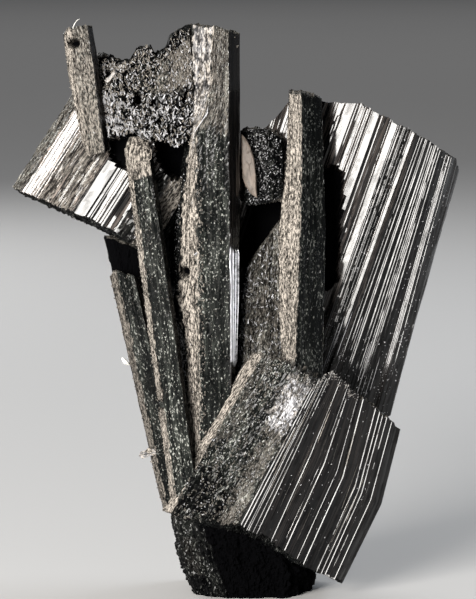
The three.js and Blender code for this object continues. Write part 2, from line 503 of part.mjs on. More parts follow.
/** A thin raised strip on a face, drawn in at both ends. */
function lath(lines, face, from, to, start, end, height) {
  const { sunk, taper, inset, slope } = LATH_SHAPE;
  const rings = [[start, 0], [start + taper, 1], [end - taper, 1], [end, 0]].map(([s, lift]) => {
    const a = onFace(lines, face, from, s);
    const b = onFace(lines, face, to, s);
    const rise = lift * height;
    return [
      a.p.clone().addScaledVector(a.out, -sunk),
      a.p.clone().lerp(b.p, inset * lift).addScaledVector(a.out, rise),
      b.p.clone().lerp(a.p, inset * lift).addScaledVector(b.out, rise * slope),
      b.p.clone().addScaledVector(b.out, -sunk),
    ];
  });
  return loft(rings, [0, 0]);
}

/** A blunt, angular grain. */
function grain(at, radii, rand, turn = new THREE.Quaternion()) {
  const points = [];
  for (let i = 0; i < HULL_POINTS; i++) {
    const height = 1 - (2 * (i + 0.5)) / HULL_POINTS;
    const angle = i * GOLDEN_ANGLE + between(rand, -0.5, 0.5);
    const ring = Math.sqrt(1 - height * height);
    const p = new THREE.Vector3(ring * Math.cos(angle), ring * Math.sin(angle), height);
    p.multiply(radii).applyQuaternion(turn).add(at);
    points.push(p);
  }
  return solidOf(new ConvexGeometry(points));
}

/** A four-sided splinter with a chisel tip. */
function splinter(at, along, length, width, rand) {
  const side = new THREE.Vector3(between(rand, -1, 1), between(rand, -1, 1), between(rand, -1, 1))
    .cross(along).normalize();
  const other = side.clone().cross(along).normalize();
  const points = [];
  const put = (u, v, w) => points.push(at.clone().addScaledVector(side, u * width)
    .addScaledVector(other, v * width).addScaledVector(along, w * length));
  SPLINTER_CORNERS.forEach((corner) => put(...corner));
  return solidOf(new ConvexGeometry(points));
}

/** Every grain and splinter of one patch of broken ground. */
function brokenGround(patch, rand) {
  const found = [];
  const lean = vec(patch.lean).normalize();
  for (let i = 0; i < patch.count; i++) {
    const at = pointAlong(patch.along, (i + 0.5) / patch.count);
    at.add(new THREE.Vector3(
      between(rand, -1, 1) * patch.spread[0],
      between(rand, -1, 1) * patch.spread[1],
      between(rand, -1, 1) * patch.spread[2],
    ));
    const size = between(rand, patch.size[0], patch.size[1]);
    const turned = lean.clone().add(new THREE.Vector3(
      between(rand, -0.4, 0.4), between(rand, -0.4, 0.4), between(rand, -0.4, 0.4))).normalize();
    if (rand() < patch.splinters) {
      found.push(splinter(at, turned, size * between(rand, 2.2, 3.6), size * 0.4, rand));
    } else {
      const turn = new THREE.Quaternion().setFromUnitVectors(new THREE.Vector3(0, 0, 1), turned);
      const radii = new THREE.Vector3(size, size * between(rand, 0.6, 1), size * between(rand, 0.8, 1.5));
      found.push(grain(at, radii, rand, turn));
    }
  }
  return found;
}

/** The tool body of one pit. */
function pit([name, face, across, along, radius, depth], rand) {
  const place = onFace(EDGES[name], face, across, along);
  const turn = new THREE.Quaternion().setFromUnitVectors(new THREE.Vector3(0, 0, 1), place.up);
  const radii = new THREE.Vector3(radius, depth, radius * 1.6);
  return grain(place.p, radii, rand, turn);
}

/** The fused cluster. */
function cluster() {
  const rand = stream(SEED);
  const solids = Object.entries(EDGES).map(([name, lines]) => crystal(lines, FINISH[name], rand));
  for (const [name, ...rest] of LATHS) solids.push(lath(EDGES[name], ...rest));
  for (const patch of LUMPS) solids.push(...brokenGround(patch, rand));
  const fused = Manifold.union(solids);
  const hollow = solidOf(new ConvexGeometry(HOLLOW.map(vec)));
  const pits = Manifold.union([hollow, ...PITS.map((row) => pit(row, rand))]);
  const ground = new THREE.BoxGeometry(GROUND_MM, GROUND_MM, GROUND_MM);
  ground.translate(0, 0, FLOOR_Z - GROUND_MM / 2);
  ground.deleteAttribute('normal');
  ground.deleteAttribute('uv');
  const whole = fused.subtract(pits).subtract(solidOf(mergeVertices(ground))).simplify(WELD_MM);
  const parts = whole.decompose().sort((a, b) => b.volume() - a.volume());
  return parts[0];
}

/** The thin leaf, drawn in a little toward both faces. */
function flake() {
  const centre = FLAKE.outline.reduce((s, p) => [s[0] + p[0], s[1] + p[1]], [0, 0])
    .map((v) => v / FLAKE.outline.length);
  const ring = (inset, depth) => FLAKE.outline.map(([x, z]) => {
    const dx = x - centre[0];
    const dz = z - centre[1];
    const far = Math.hypot(dx, dz);
    const keep = (far - inset) / far;
    return new THREE.Vector3(
      centre[0] + dx * keep, FLAKE.y + depth - dx * FLAKE.tilt, centre[1] + dz * keep);
  });
  const half = FLAKE.thick / 2;
  return loft([ring(FLAKE.rim, -half), ring(0, 0), ring(FLAKE.rim, half)], [0, 0]);
}

/** The loose white grain. */
function whiteGrain() {
  const turn = new THREE.Quaternion().setFromAxisAngle(new THREE.Vector3(0, 1, 0), GRAIN.lean);
  return grain(vec(GRAIN.at), vec(GRAIN.radii), stream(SEED + 1), turn);
}

/** A named mesh from a solid. */
function meshOf(name, solid, colour, roughness, metalness) {
  const found = solid.getMesh();
  const geometry = new THREE.BufferGeometry();
  geometry.setAttribute('position', new THREE.BufferAttribute(Float32Array.from(found.vertProperties), 3));
  geometry.setIndex(new THREE.BufferAttribute(Uint32Array.from(found.triVerts), 1));
  const flat = geometry.toNonIndexed();
  flat.computeVertexNormals();
  const material = new THREE.MeshStandardMaterial({ color: colour, roughness, metalness });
  material.name = name + '_finish';
  const mesh = new THREE.Mesh(flat, material);
  mesh.name = name;
  return mesh;
}

const specimen = new THREE.Group();
specimen.name = 'arfvedsonite_specimen';
specimen.add(meshOf('crystal_cluster', cluster(), 0x1d2022, 0.32, 0.1));
specimen.add(meshOf('pale_flake', flake(), 0xc9b39c, 0.5, 0));
specimen.add(meshOf('white_grain', whiteGrain(), 0xe9e6dc, 0.6, 0));

export default specimen;
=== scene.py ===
"""Looks of the arfvedsonite specimen: striated black crystals grown out of one broken root.

Each crystal is a fine closed mesh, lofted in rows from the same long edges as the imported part.
Sizes are in millimetres until a mesh is made; +Z is up and -Y is the front.
"""

from __future__ import annotations

import functools
import itertools
import logging
import math
from collections.abc import Iterable
from dataclasses import dataclass
from enum import Enum

import bpy
import numpy as np
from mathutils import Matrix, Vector

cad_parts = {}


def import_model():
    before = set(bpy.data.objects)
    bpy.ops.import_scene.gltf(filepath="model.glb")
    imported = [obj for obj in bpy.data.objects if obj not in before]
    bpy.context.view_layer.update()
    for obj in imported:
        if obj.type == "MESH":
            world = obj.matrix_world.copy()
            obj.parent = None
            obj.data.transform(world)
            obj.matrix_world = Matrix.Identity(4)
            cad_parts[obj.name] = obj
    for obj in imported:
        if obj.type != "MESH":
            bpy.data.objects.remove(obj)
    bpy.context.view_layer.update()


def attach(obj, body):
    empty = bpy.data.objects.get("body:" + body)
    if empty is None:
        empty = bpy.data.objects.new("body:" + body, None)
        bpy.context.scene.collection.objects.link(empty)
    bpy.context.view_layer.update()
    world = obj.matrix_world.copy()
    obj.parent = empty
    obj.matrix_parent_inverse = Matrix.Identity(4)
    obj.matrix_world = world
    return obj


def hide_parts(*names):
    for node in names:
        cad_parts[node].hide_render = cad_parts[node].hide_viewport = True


LOG = logging.getLogger("specimen")
MM = 0.001
ROOT_BODY = "root"
CLUSTER_NODE = "crystal_cluster"
FLAKE_NODE = "pale_flake"
GRAIN_NODE = "white_grain"

# The darkness mark paints shade, and in some grounds the rock's darker tone too.
MARK_NAMES = ("frost", "warmth", "dark_and_shade", "veil", "ice")
DARK_AND_SHADE = MARK_NAMES.index("dark_and_shade")

Array = np.ndarray
Point = tuple[float, float, float]
Edge = tuple[Point, ...]
Span = tuple[float, float]


# ------------------------------------------------------------------ numbers
WORD = 1 << 32
CELL_FACTORS = (374761393, 668265263)
SEED_FACTOR = 2246822519
MIX_STEPS = ((13, 1274126177), (16, 2654435761))
LAST_SHIFT = 15
GRAIN_SCATTER = 0.45
TINY = 1e-12


def hashed(cells: tuple[Array, Array], seed: int) -> Array:
    """Gives each whole-number cell its own repeatable number.

    Args:
        cells: The two whole-number coordinates of each cell.
        seed: Picks one of many independent sets of numbers.

    Returns:
        Numbers from -1 to 1.
    """
    mask = np.uint64(WORD - 1)
    first, second = (cell.astype(np.int64) * factor for cell, factor in zip(cells, CELL_FACTORS))
    mixed = ((first + second).astype(np.uint64) + np.uint64(seed * SEED_FACTOR % WORD)) & mask
    for shift, factor in MIX_STEPS:
        mixed = ((mixed ^ (mixed >> np.uint64(shift))) * np.uint64(factor)) & mask
    mixed ^= mixed >> np.uint64(LAST_SHIFT)
    return mixed.astype(float) / float(WORD // 2) - 1.0


def eased(share: Array) -> Array:
    """The same shares from 0 to 1, with a soft start and a soft end."""
    return share * share * (3 - 2 * share)


def ramp(values: Array, start: float, end: float) -> Array:
    """A smooth step from 0 at start to 1 at end."""
    return eased(np.clip((values - start) / (end - start), 0.0, 1.0))


def unit(vectors: Array) -> Array:
    """The same directions at length 1."""
    return vectors / np.maximum(np.linalg.norm(vectors, axis=-1, keepdims=True), TINY)


def soft_noise(across: Array, along: Array, cell: Span, seed: int) -> Array:
    """Smooth noise over a face.

    Args:
        across: Places across the face, mm.
        along: Places along the face, mm.
        cell: Width and length of one swelling, mm.
        seed: Picks the pattern.

    Returns:
        Numbers from -1 to 1.
    """
    a, b = across / cell[0], along / cell[1]
    a0, b0 = np.floor(a), np.floor(b)
    wa, wb = eased(a - a0), eased(b - b0)
    total = np.zeros(np.broadcast(a, b).shape)
    for i, j in itertools.product((0, 1), repeat=2):
        weight = (wa if i else 1 - wa) * (wb if j else 1 - wb)
        total += weight * hashed((a0 + i, b0 + j), seed)
    return total


def tilted_grains(across: Array, along: Array, cell: Span, seed: int, tilt: float) -> Array:
    """Heights of packed flat grains, each at its own level and slope.

    Args:
        across: Places across the face, mm.
        along: Places along the face, mm.
        cell: Mean width and length of a grain, mm.
        seed: Picks the pattern.
        tilt: Rise of a grain's top from its middle to its rim, as a share of its level.

    Returns:
        Heights of about -1 to 1.
    """
    a, b = np.broadcast_arrays(across / cell[0], along / cell[1])
    a0, b0 = np.floor(a), np.floor(b)
    nearest = np.full(a.shape, np.inf)
    height = np.zeros(a.shape)
    for i, j in itertools.product((-1, 0, 1), repeat=2):
        at = (a0 + i, b0 + j)
        da = a - at[0] - 0.5 - GRAIN_SCATTER * hashed(at, seed)
        db = b - at[1] - 0.5 - GRAIN_SCATTER * hashed(at, seed + 1)
        far = da * da + db * db
        level, lean_a, lean_b = (hashed(at, seed + step) for step in (2, 3, 4))
        slope = tilt * (da * lean_a + db * lean_b)
        closer = far < nearest
        height = np.where(closer, level + slope, height)
        nearest = np.where(closer, far, nearest)
    return height


# -------------------------------------------------------------- face shapes
class Ground(Enum):
    """What a face is like to look at: its frost, warmth, darkness, veil and ice, each from 0 to 1. The
    darkness is mostly painted shade, warmth is a tan painted lighter where light falls on the bevels, and
    ice paints white grains and painted reflections.
    """

    MIRROR = (0.0, 0.0, 0.0, 0.03, 0.0)
    VEILED = (0.04, 0.0, 0.0, 0.22, 0.0)
    SATIN = (0.04, 0.0, 0.0, 1.0, 0.0)
    STREAKED = (0.2, 0.0, 0.0, 0.1, 0.0)
    FROSTED = (0.75, 0.0, 0.0, 0.0, 0.0)
    PALE_FROST = (0.9, 0.5, 0.0, 0.0, 0.0)
    # Tan, painted lighter for the light that falls on the lit bevels.
    BEVEL = (1.0, 1.0, 0.0, 0.0, 0.0)
    GRANULAR = (0.8, 0.25, 0.0, 0.0, 0.0)
    DUSKY = (0.7, 0.0, 0.35, 0.0, 0.0)
    UMBER = (0.8, 0.8, 0.45, 0.1, 0.0)
    RUSTY = (0.5, 0.6, 0.25, 0.6, 0.0)
    CRUMBLY = (1.0, 0.9, 0.0, 0.0, 0.16)
    SNOWY = (1.0, 0.6, 0.0, 0.0, 0.58)
    # A painted reflection: white lines where light is mirrored.
    PAINTED_REFLECTION = (0.3, 0.0, 0.0, 0.0, 1.0)
    CRAG = (0.35, 0.0, 0.7, 0.0, 0.0)
    # Dark rock with painted shade.
    SHADED_DARK_ROCK = (0.35, 0.0, 0.6, 0.0, 0.0)
    # Painted shade: black where deep shade falls.
    DEEP_SHADE = (0.2, 0.0, 1.0, 0.0, 0.0)


@dataclass(frozen=True)
class Reeds:
    """Parallel growth reeds: narrow flat strips, of which some share one angle and flash together.

    Angles are in degrees about the length; a strip leans right if its angle is positive.
    """

    flash: float = -30.0
    flash_share: float = 0.3
    flash_width: Span = (0.03, 0.09)
    flash_spread: float = 3.0
    dull: Span = (0.0, 12.0)
    dull_width: Span = (0.1, 0.4)
    depth: float = 0.12
    bands: tuple[tuple[float, float, float], ...] = ()
    waver: float = 0.08
    reach: Span = (-1.0, 2.0)
    rest: float = 0.1
    run_in: float = 0.02

    def standing(self, along: Array) -> Array:
        """How far the reeds stand out at these shares of the length, from rest to 1."""
        inside = np.minimum(along - self.reach[0], self.reach[1] - along)
        return self.rest + (1 - self.rest) * ramp(inside, 0.0, self.run_in)

    def strips(self, width: float, rng: np.random.Generator) -> tuple[Array, Array]:
        """Draws the profile of the reeds across a face.

        Args:
            width: Width of the face, mm.
            rng: Source of the random widths and turns.

        Returns:
            Places of the strips' borders from 0 to 1, and their heights in mm.
        """
        places, heights, yielding = [0.0], [0.0], []

        def lay(until: float, degrees: float, dull: bool) -> None:
            """Adds one strip.

            Args:
                until: Where it ends, mm, if the face isn't at its end before.
                degrees: Its turn about the length.
                dull: Whether it takes up a share of the profile's spare height.
            """
            span = min(until, width) - places[-1]
            places.append(places[-1] + span)
            heights.append(heights[-1] - math.tan(math.radians(degrees)) * span)
            yielding.append(span * dull)

        def fill(until: float) -> None:
            """Adds dull strips of random widths, and a flashing one after some of them.

            Args:
                until: Where they end, mm.
            """
            while until - places[-1] > self.flash_width[0]:
                size = rng.uniform(*self.dull)
                lean = 0.5 + 0.5 * np.clip(heights[-1] / self.depth, -1.0, 1.0)
                end = places[-1] + rng.uniform(*self.dull_width)
                lay(min(end, until), size if rng.random() < lean else -size, True)
                if until - places[-1] > self.flash_width[0] and rng.random() < self.flash_share:
                    end = places[-1] + rng.uniform(*self.flash_width)
                    lay(min(end, until), self.flash + self.flash_spread * rng.normal(), False)

        for start, end, degrees in self.bands:
            fill(start * width)
            lay(end * width, degrees, False)
        fill(width)
        spare = np.concatenate([[0.0], np.cumsum(yielding)])
        level = np.array(heights)
        return np.array(places) / places[-1], level - spare / max(spare[-1], TINY) * level[-1]


@dataclass(frozen=True)
class Grit:
    """A cover of small tilted grains."""

    cell: Span
    height: float
    tilt: float = 1.4


@dataclass(frozen=True)
class Laths:
    """Thin raised or sunken strips that end part of the way along a face."""

    count: int
    width: Span = (0.12, 0.6)
    length: Span = (2.0, 12.0)
    height: float = 0.07
    rise: Span = (-0.7, 1.0)
    overrun: float = 2.0
    flank: float = 0.03
    low_tip: float = 0.3
    high_tip: float = 0.4

    def laid(
        self, height: Array, across: Array, lengths: Array, width: float, rng: np.random.Generator
    ) -> Array:
        """Lays the strips on a face.

        Args:
            height: Heights of the face so far, mm.
            across: Places of the columns across the face, mm.
            lengths: Lengths of every row and column, mm.
            width: Width of the face, mm.
            rng: Source of the random places and sizes.

        Returns:
            Heights with the strips, mm.
        """
        total = float(lengths.max())
        for _ in range(self.count):
            start = rng.uniform(0, width)
            stop = start + rng.uniform(*self.width)
            foot = rng.uniform(-self.overrun, total)
            tip = foot + rng.uniform(*self.length)
            rise = self.height * rng.uniform(*self.rise)
            beside = ramp(across, start, start + self.flank) * (1 - ramp(across, stop, stop + self.flank))
            within = ramp(lengths, foot, foot + self.low_tip)
            within = within * (1 - ramp(lengths, tip, tip + self.high_tip))
            height = height + rise * beside * within
        return height


# The ragged rim of a patch: heights and cells of its swellings, and how it fades.
WEAR_SWELLS = ((0.7, (0.5, 0.6)), (0.6, (0.16, 0.3)))
WEAR_SEEDS = 5
WEAR_RAMP = (-0.3, 0.5)
WEAR_LENGTH = 30.0
TIP_LENGTH = 20.0


@dataclass(frozen=True)
class Patch:
    """A part of a face with another ground and its own grains, worn in at its rim.

    Both spans are shares. The wear counts a crystal as WEAR_LENGTH mm long, and the tips as TIP_LENGTH mm.
    """

    across: Span
    along: Span
    ground: Ground
    grit: tuple[Grit, ...] = ()
    feather: float = 0.8
    strength: float = 1.0

    def cover(self, across: Array, along: Array, width: float, seed: int) -> Array:
        """How far the patch covers each place.

        Args:
            across: Places across the face, mm.
            along: Shares of the crystal's length.
            width: Width of the face, mm.
            seed: Picks the raggedness of the rim.

        Returns:
            Numbers from 0 to 1.
        """
        wear = sum(
            height * soft_noise(across, along * WEAR_LENGTH, cell, seed + WEAR_SEEDS * number)
            for number, (height, cell) in enumerate(WEAR_SWELLS)
        )
        share = across / width
        rim = np.minimum(share - self.across[0], self.across[1] - share) * width / self.feather
        tips = np.minimum(along - self.along[0], self.along[1] - along) * TIP_LENGTH / self.feather
        return self.strength * ramp(np.minimum(rim, tips) + wear, *WEAR_RAMP)


@dataclass(frozen=True)
class FaceForm:
    """How one face of a crystal is shaped and what it looks like."""

    column: float
    ground: Ground
    reeds: Reeds | None = None
    grit: tuple[Grit, ...] = ()
    laths: Laths | None = None
    patches: tuple[Patch, ...] = ()
    border: float = 0.12
    pit_shade: float = 0.5


@dataclass(frozen=True)
class EndForm:
    """How one end of a crystal is broken off."""

    ragged: float = 0.12
    dome: float = 0.1
    grit: tuple[Grit, ...] = (Grit((0.45, 0.45), 0.12), Grit((0.16, 0.16), 0.05))
    ground: Ground = Ground.GRANULAR
    ring: float = 0.22


@dataclass(frozen=True)
class Sprinkle:
    """Splinters and blunt grains standing on a part of a face."""

    face: int
    across: Span
    along: Span
    count: int
    size: Span
    ground: Ground
    slender: float = 3.0
    lean: float = 0.6
    dimmest: float = 0.4
    stray: float = 0.6


@dataclass(frozen=True)
class Hollow:
    """A pit with a soft rim, pushed in one direction and painted dark with shade."""

    at: Point
    radii: Point
    push: Point = (0.0, 0.7, 0.0)
    dark_and_shade: float = 1.0
    core: float = 0.45

    def depth(self, points: Array) -> Array:
        """How deep each point lies in the pit, from 0 to 1."""
        far = np.linalg.norm((points - np.array(self.at)) / np.array(self.radii), axis=-1)
        return ramp(-far, -1.0, -self.core)


@dataclass(frozen=True)
class Shadow:
    """A deep hollow between crystals, pushed back and painted black with shade, drawn by its corners seen
    from the front (x, z).
    """

    corners: tuple[Span, ...]
    push: Point = (0.0, 2.0, 0.0)
    dark_and_shade: float = 1.0
    rim: float = 0.15
    floor: float = 3.0
    wear: float = 0.12
    wear_cell: Span = (0.35, 0.35)
    wear_seed: int = 3

    def depth(self, points: Array) -> Array:
        """How deep each point lies in the hollow.

        Args:
            points: Points, mm.

        Returns:
            Numbers from 0 to 1, with 0 outside the corners and behind the hollow's floor.
        """
        wear = self.wear * soft_noise(points[..., 0], points[..., 2], self.wear_cell, self.wear_seed)
        inside = np.full(points.shape[:-1], np.inf)
        for (x0, z0), (x1, z1) in zip(self.corners, self.corners[1:] + self.corners[:1]):
            reach = math.hypot(x1 - x0, z1 - z0)
            side = (x1 - x0) * (points[..., 2] - z0) - (z1 - z0) * (points[..., 0] - x0)
            inside = np.minimum(inside, -side / reach)
        return ramp(inside + wear, 0.0, self.rim) * ramp(self.floor - points[..., 1], 0.0, 1.0)


@dataclass(frozen=True)
class Shard:
    """One flat-sided splinter between two points."""

    start: Point
    end: Point
    width: float
    ground: Ground


FINE_FROST = (Grit((0.11, 0.3), 0.007), Grit((0.3, 1.6), 0.012, 0.8))
COARSE_FROST = (Grit((0.14, 0.32), 0.022), Grit((0.35, 0.9), 0.03))
SPARKLE = (Grit((0.18, 0.26), 0.035), Grit((0.5, 0.9), 0.05))
RUBBLE = (Grit((0.7, 0.75), 0.2, 1.0), Grit((0.3, 0.34), 0.12), Grit((0.14, 0.16), 0.04))
CRAGS = (Grit((1.5, 1.4), 0.3, 1.0), Grit((0.5, 0.6), 0.2, 1.2), Grit((0.2, 0.28), 0.1, 1.2))
HAIRLINES = (Grit((0.09, 1.4), 0.004, 1.0),)
COMBED = (Grit((0.08, 2.0), 0.014), Grit((0.3, 1.6), 0.02))
SPECKS = (Grit((0.13, 0.17), 0.012, 1.2), Grit((0.1, 1.2), 0.006))

BEVEL_FACE = FaceForm(0.09, Ground.BEVEL, None, COARSE_FROST)
SIDE_REEDS = Reeds(30.0, 0.2, dull=(0.0, 16.0), depth=0.09)
SIDE_FACE = FaceForm(0.16, Ground.STREAKED, SIDE_REEDS, HAIRLINES, Laths(6))
BACK_REEDS = Reeds(35.0, 0.25, dull=(0.0, 18.0))
BACK_FACE = FaceForm(0.35, Ground.STREAKED, BACK_REEDS, HAIRLINES, Laths(10))
ROUGH_FACE = FaceForm(0.1, Ground.GRANULAR, None, SPARKLE)
RUBBLE_FACE = FaceForm(0.1, Ground.GRANULAR, None, RUBBLE)
CRAG_FACE = FaceForm(0.1, Ground.CRAG, None, CRAGS)
BROAD_COLUMN = 0.3


def striated(
    ground: Ground, reeds: Reeds, laths: Laths | None = None, patches: tuple[Patch, ...] = ()
) -> FaceForm:
    """A broad face of growth lines."""
    return FaceForm(BROAD_COLUMN, ground, reeds, HAIRLINES, laths, patches)


def strewn(faces: Iterable[int], *form: object) -> tuple[Sprinkle, ...]:
    """The same sprinkle on several faces."""
    return tuple(Sprinkle(face, *form) for face in faces)


# --------------------------------------------------------------- mesh parts
@dataclass
class Shell:
    """Points, triangles and surface marks of a closed form, in millimetres."""

    points: Array
    triangles: Array
    growth: Array
    marks: Array

    @staticmethod
    def plain(points: Array, triangles: Array, growth: Array) -> Shell:
        """A shell whose surface marks are all 0."""
        return Shell(points, triangles, growth, np.zeros((len(points), len(MARK_NAMES))))

    @staticmethod
    def joined(shells: list[Shell]) -> Shell:
        """Puts several shells into one.

        Args:
            shells: The shells to join, in order.

        Returns:
            One shell with all their points and triangles.
        """
        starts = np.cumsum([0] + [len(s.points) for s in shells[:-1]])
        return Shell(
            np.concatenate([s.points for s in shells]),
            np.concatenate([s.triangles + start for s, start in zip(shells, starts)]),
            np.concatenate([s.growth for s in shells]),
            np.concatenate([s.marks for s in shells]),
        )


def grid_triangles(rows: int, columns: int) -> Array:
    """Triangles of a tube of points whose columns close on themselves.

    Args:
        rows: Number of rings.
        columns: Number of points in a ring.

    Returns:
        Point numbers, three to a triangle.
    """
    ring, place = np.meshgrid(np.arange(rows - 1), np.arange(columns), indexing="ij")
    a = (ring * columns + place).ravel()
    b = (ring * columns + (place + 1) % columns).ravel()
    return np.concatenate([np.stack([a, b, b + columns], 1), np.stack([a, b + columns, a + columns], 1)])


def capped(grid: Array, tips: Array) -> tuple[Array, Array]:
    """Closes a tube of rings with a fan of triangles at each end.

    Args:
        grid: Points by ring and place.
        tips: The two points in the middle of the ends.

    Returns:
        Points and triangles of the closed form.
    """
    rings, columns = grid.shape[:2]
    count = rings * columns
    first = np.arange(columns)
    last = first + count - columns
    low = np.stack([np.roll(first, -1), first, np.full(columns, count)], 1)
    high = np.stack([last, np.roll(last, -1), np.full(columns, count + 1)], 1)
    points = np.concatenate([grid.reshape(-1, 3), tips])
    return points, np.concatenate([grid_triangles(rings, columns), low, high])


SPLINTER_CORNERS = np.array([
    [1.0, 0.5, -0.5], [-0.9, 0.6, -0.5], [-1.0, -0.5, -0.5], [0.8, -0.6, -0.5],
    [0.7, 0.4, 0.3], [-0.6, 0.4, 0.42], [-0.6, -0.4, 0.5], [0.5, -0.4, 0.36],
])
SPLINTER_TRIANGLES = np.array([
    [0, 2, 1], [0, 3, 2], [4, 5, 6], [4, 6, 7], [0, 1, 5], [0, 5, 4],
    [1, 2, 6], [1, 6, 5], [2, 3, 7], [2, 7, 6], [3, 0, 4], [3, 4, 7],
])
SPLINTER_BEND = 0.25
SPLINTER_GROWTH = (0.3, 2.0, 1.0)
GROWTH_SPREAD = 50.0


def splinters(at: Array, along: Array, lengths: Array, widths: Array, marks: Array, seed: int) -> Shell:
    """Four-sided chips with chisel tips.

    Args:
        at: Middle of each chip, mm.
        along: Direction of each chip.
        lengths: Length of each chip, mm.
        widths: Width of each chip, mm.
        marks: Surface marks of each chip.
        seed: Picks how each chip is turned and bent.

    Returns:
        All the chips as one shell.
    """
    rng = np.random.default_rng(seed)
    count = len(at)
    side = unit(np.cross(rng.normal(size=(count, 3)), along))
    other = np.cross(along, side)
    corners = len(SPLINTER_CORNERS)
    shape = SPLINTER_CORNERS * (1 + SPLINTER_BEND * rng.uniform(-1, 1, (count, corners, 3)))
    points = at[:, None]
    for axis, (way, reach) in enumerate(((side, widths / 2), (other, widths / 2), (along, lengths))):
        points = points + shape[..., axis:axis + 1] * way[:, None] * reach[:, None, None]
    triangles = SPLINTER_TRIANGLES + (np.arange(count) * corners)[:, None, None]
    growth = shape[..., [0, 2, 1]] * SPLINTER_GROWTH + rng.uniform(0, GROWTH_SPREAD, (count, 1, 3))
    flat = (part.reshape(-1, 3) for part in (points, triangles, growth))
    return Shell(*flat, np.repeat(marks, corners, axis=0))


SLOPE_REACH = 0.02


class Skeleton:
    """The long edges of a crystal, read at any length along it."""

    def __init__(self, edges: tuple[Edge, ...]) -> None:
        """Measures the edges.

        Args:
            edges: The long edges, all with the same number of stations.
        """
        self.lines = np.array(edges)
        steps = np.linalg.norm(np.diff(self.lines, axis=1), axis=2).mean(0)
        self.stops = np.concatenate([[0.0], np.cumsum(steps)])
        self.length = float(self.stops[-1])

    def at(self, edge: int, lengths: Array) -> Array:
        """Points of one edge, carried on straight past its ends.

        Args:
            edge: Number of the edge, counted on past the last one.
            lengths: Lengths along the crystal, mm.

        Returns:
            One point for each length.
        """
        line = self.lines[edge % len(self.lines)]
        part = np.clip(np.searchsorted(self.stops, lengths, side="right") - 1, 0, len(self.stops) - 2)
        share = (lengths - self.stops[part]) / (self.stops[part + 1] - self.stops[part])
        return line[part] + (line[part + 1] - line[part]) * share[..., None]

    def width(self, face: int) -> float:
        """Mean width of a face, mm."""
        gaps = np.linalg.norm(self.lines[(face + 1) % len(self.lines)] - self.lines[face], axis=1)
        return float(gaps.mean())

    def middle(self, face: int, lengths: Array) -> Array:
        """Points of the middle line of a face at these lengths."""
        return (self.at(face, lengths) + self.at(face + 1, lengths)) / 2

    def outward(self, face: int, lengths: Array) -> Array:
        """Directions out of a face.

        Args:
            face: Number of the face.
            lengths: Lengths along the crystal, mm.

        Returns:
            One direction for each length, of length 1.
        """
        reach = SLOPE_REACH * self.length
        along = self.middle(face, lengths + reach) - self.middle(face, lengths - reach)
        side = self.at(face + 1, lengths) - self.at(face, lengths)
        return unit(np.cross(side, along))


@dataclass
class FaceGrid:
    """The columns of one face: where they are, how they end and what they wear."""

    shares: Array
    heights: Array
    ends: Array


# -------------------------------------------------------------- shader maths
class Value:
    """A shader socket that takes part in plain arithmetic."""

    def __init__(self, tree: ShaderTree, socket: bpy.types.NodeSocket) -> None:
        """Wraps one output socket of a tree's node."""
        self.tree = tree
        self.socket = socket

    def _math(self, operation: str, first: object, second: object) -> Value:
        """One Math node on two values."""
        node = self.tree.node("ShaderNodeMath", {"operation": operation}, {0: first, 1: second})
        return Value(self.tree, node.outputs[0])

    def __add__(self, other: object) -> Value:
        """This value plus another."""
        return self._math("ADD", self, other)

    __radd__ = __add__

    def __mul__(self, other: object) -> Value:
        """This value times another."""
        return self._math("MULTIPLY", self, other)

    __rmul__ = __mul__

    def __sub__(self, other: object) -> Value:
        """This value less another."""
        return self._math("SUBTRACT", self, other)

    def __rsub__(self, other: object) -> Value:
        """Another value less this one."""
        return self._math("SUBTRACT", other, self)

    def stepped(self, start: float, end: float) -> Value:
        """This value as a smooth step.

        Args:
            start: What becomes 0, with all below it.
            end: What becomes 1, with all above it.

        Returns:
            The stepped value.
        """
        inputs = {"Value": self, "From Min": start, "From Max": end}
        node = self.tree.node("ShaderNodeMapRange", {"interpolation_type": "SMOOTHSTEP"}, inputs)
        return Value(self.tree, node.outputs["Result"])


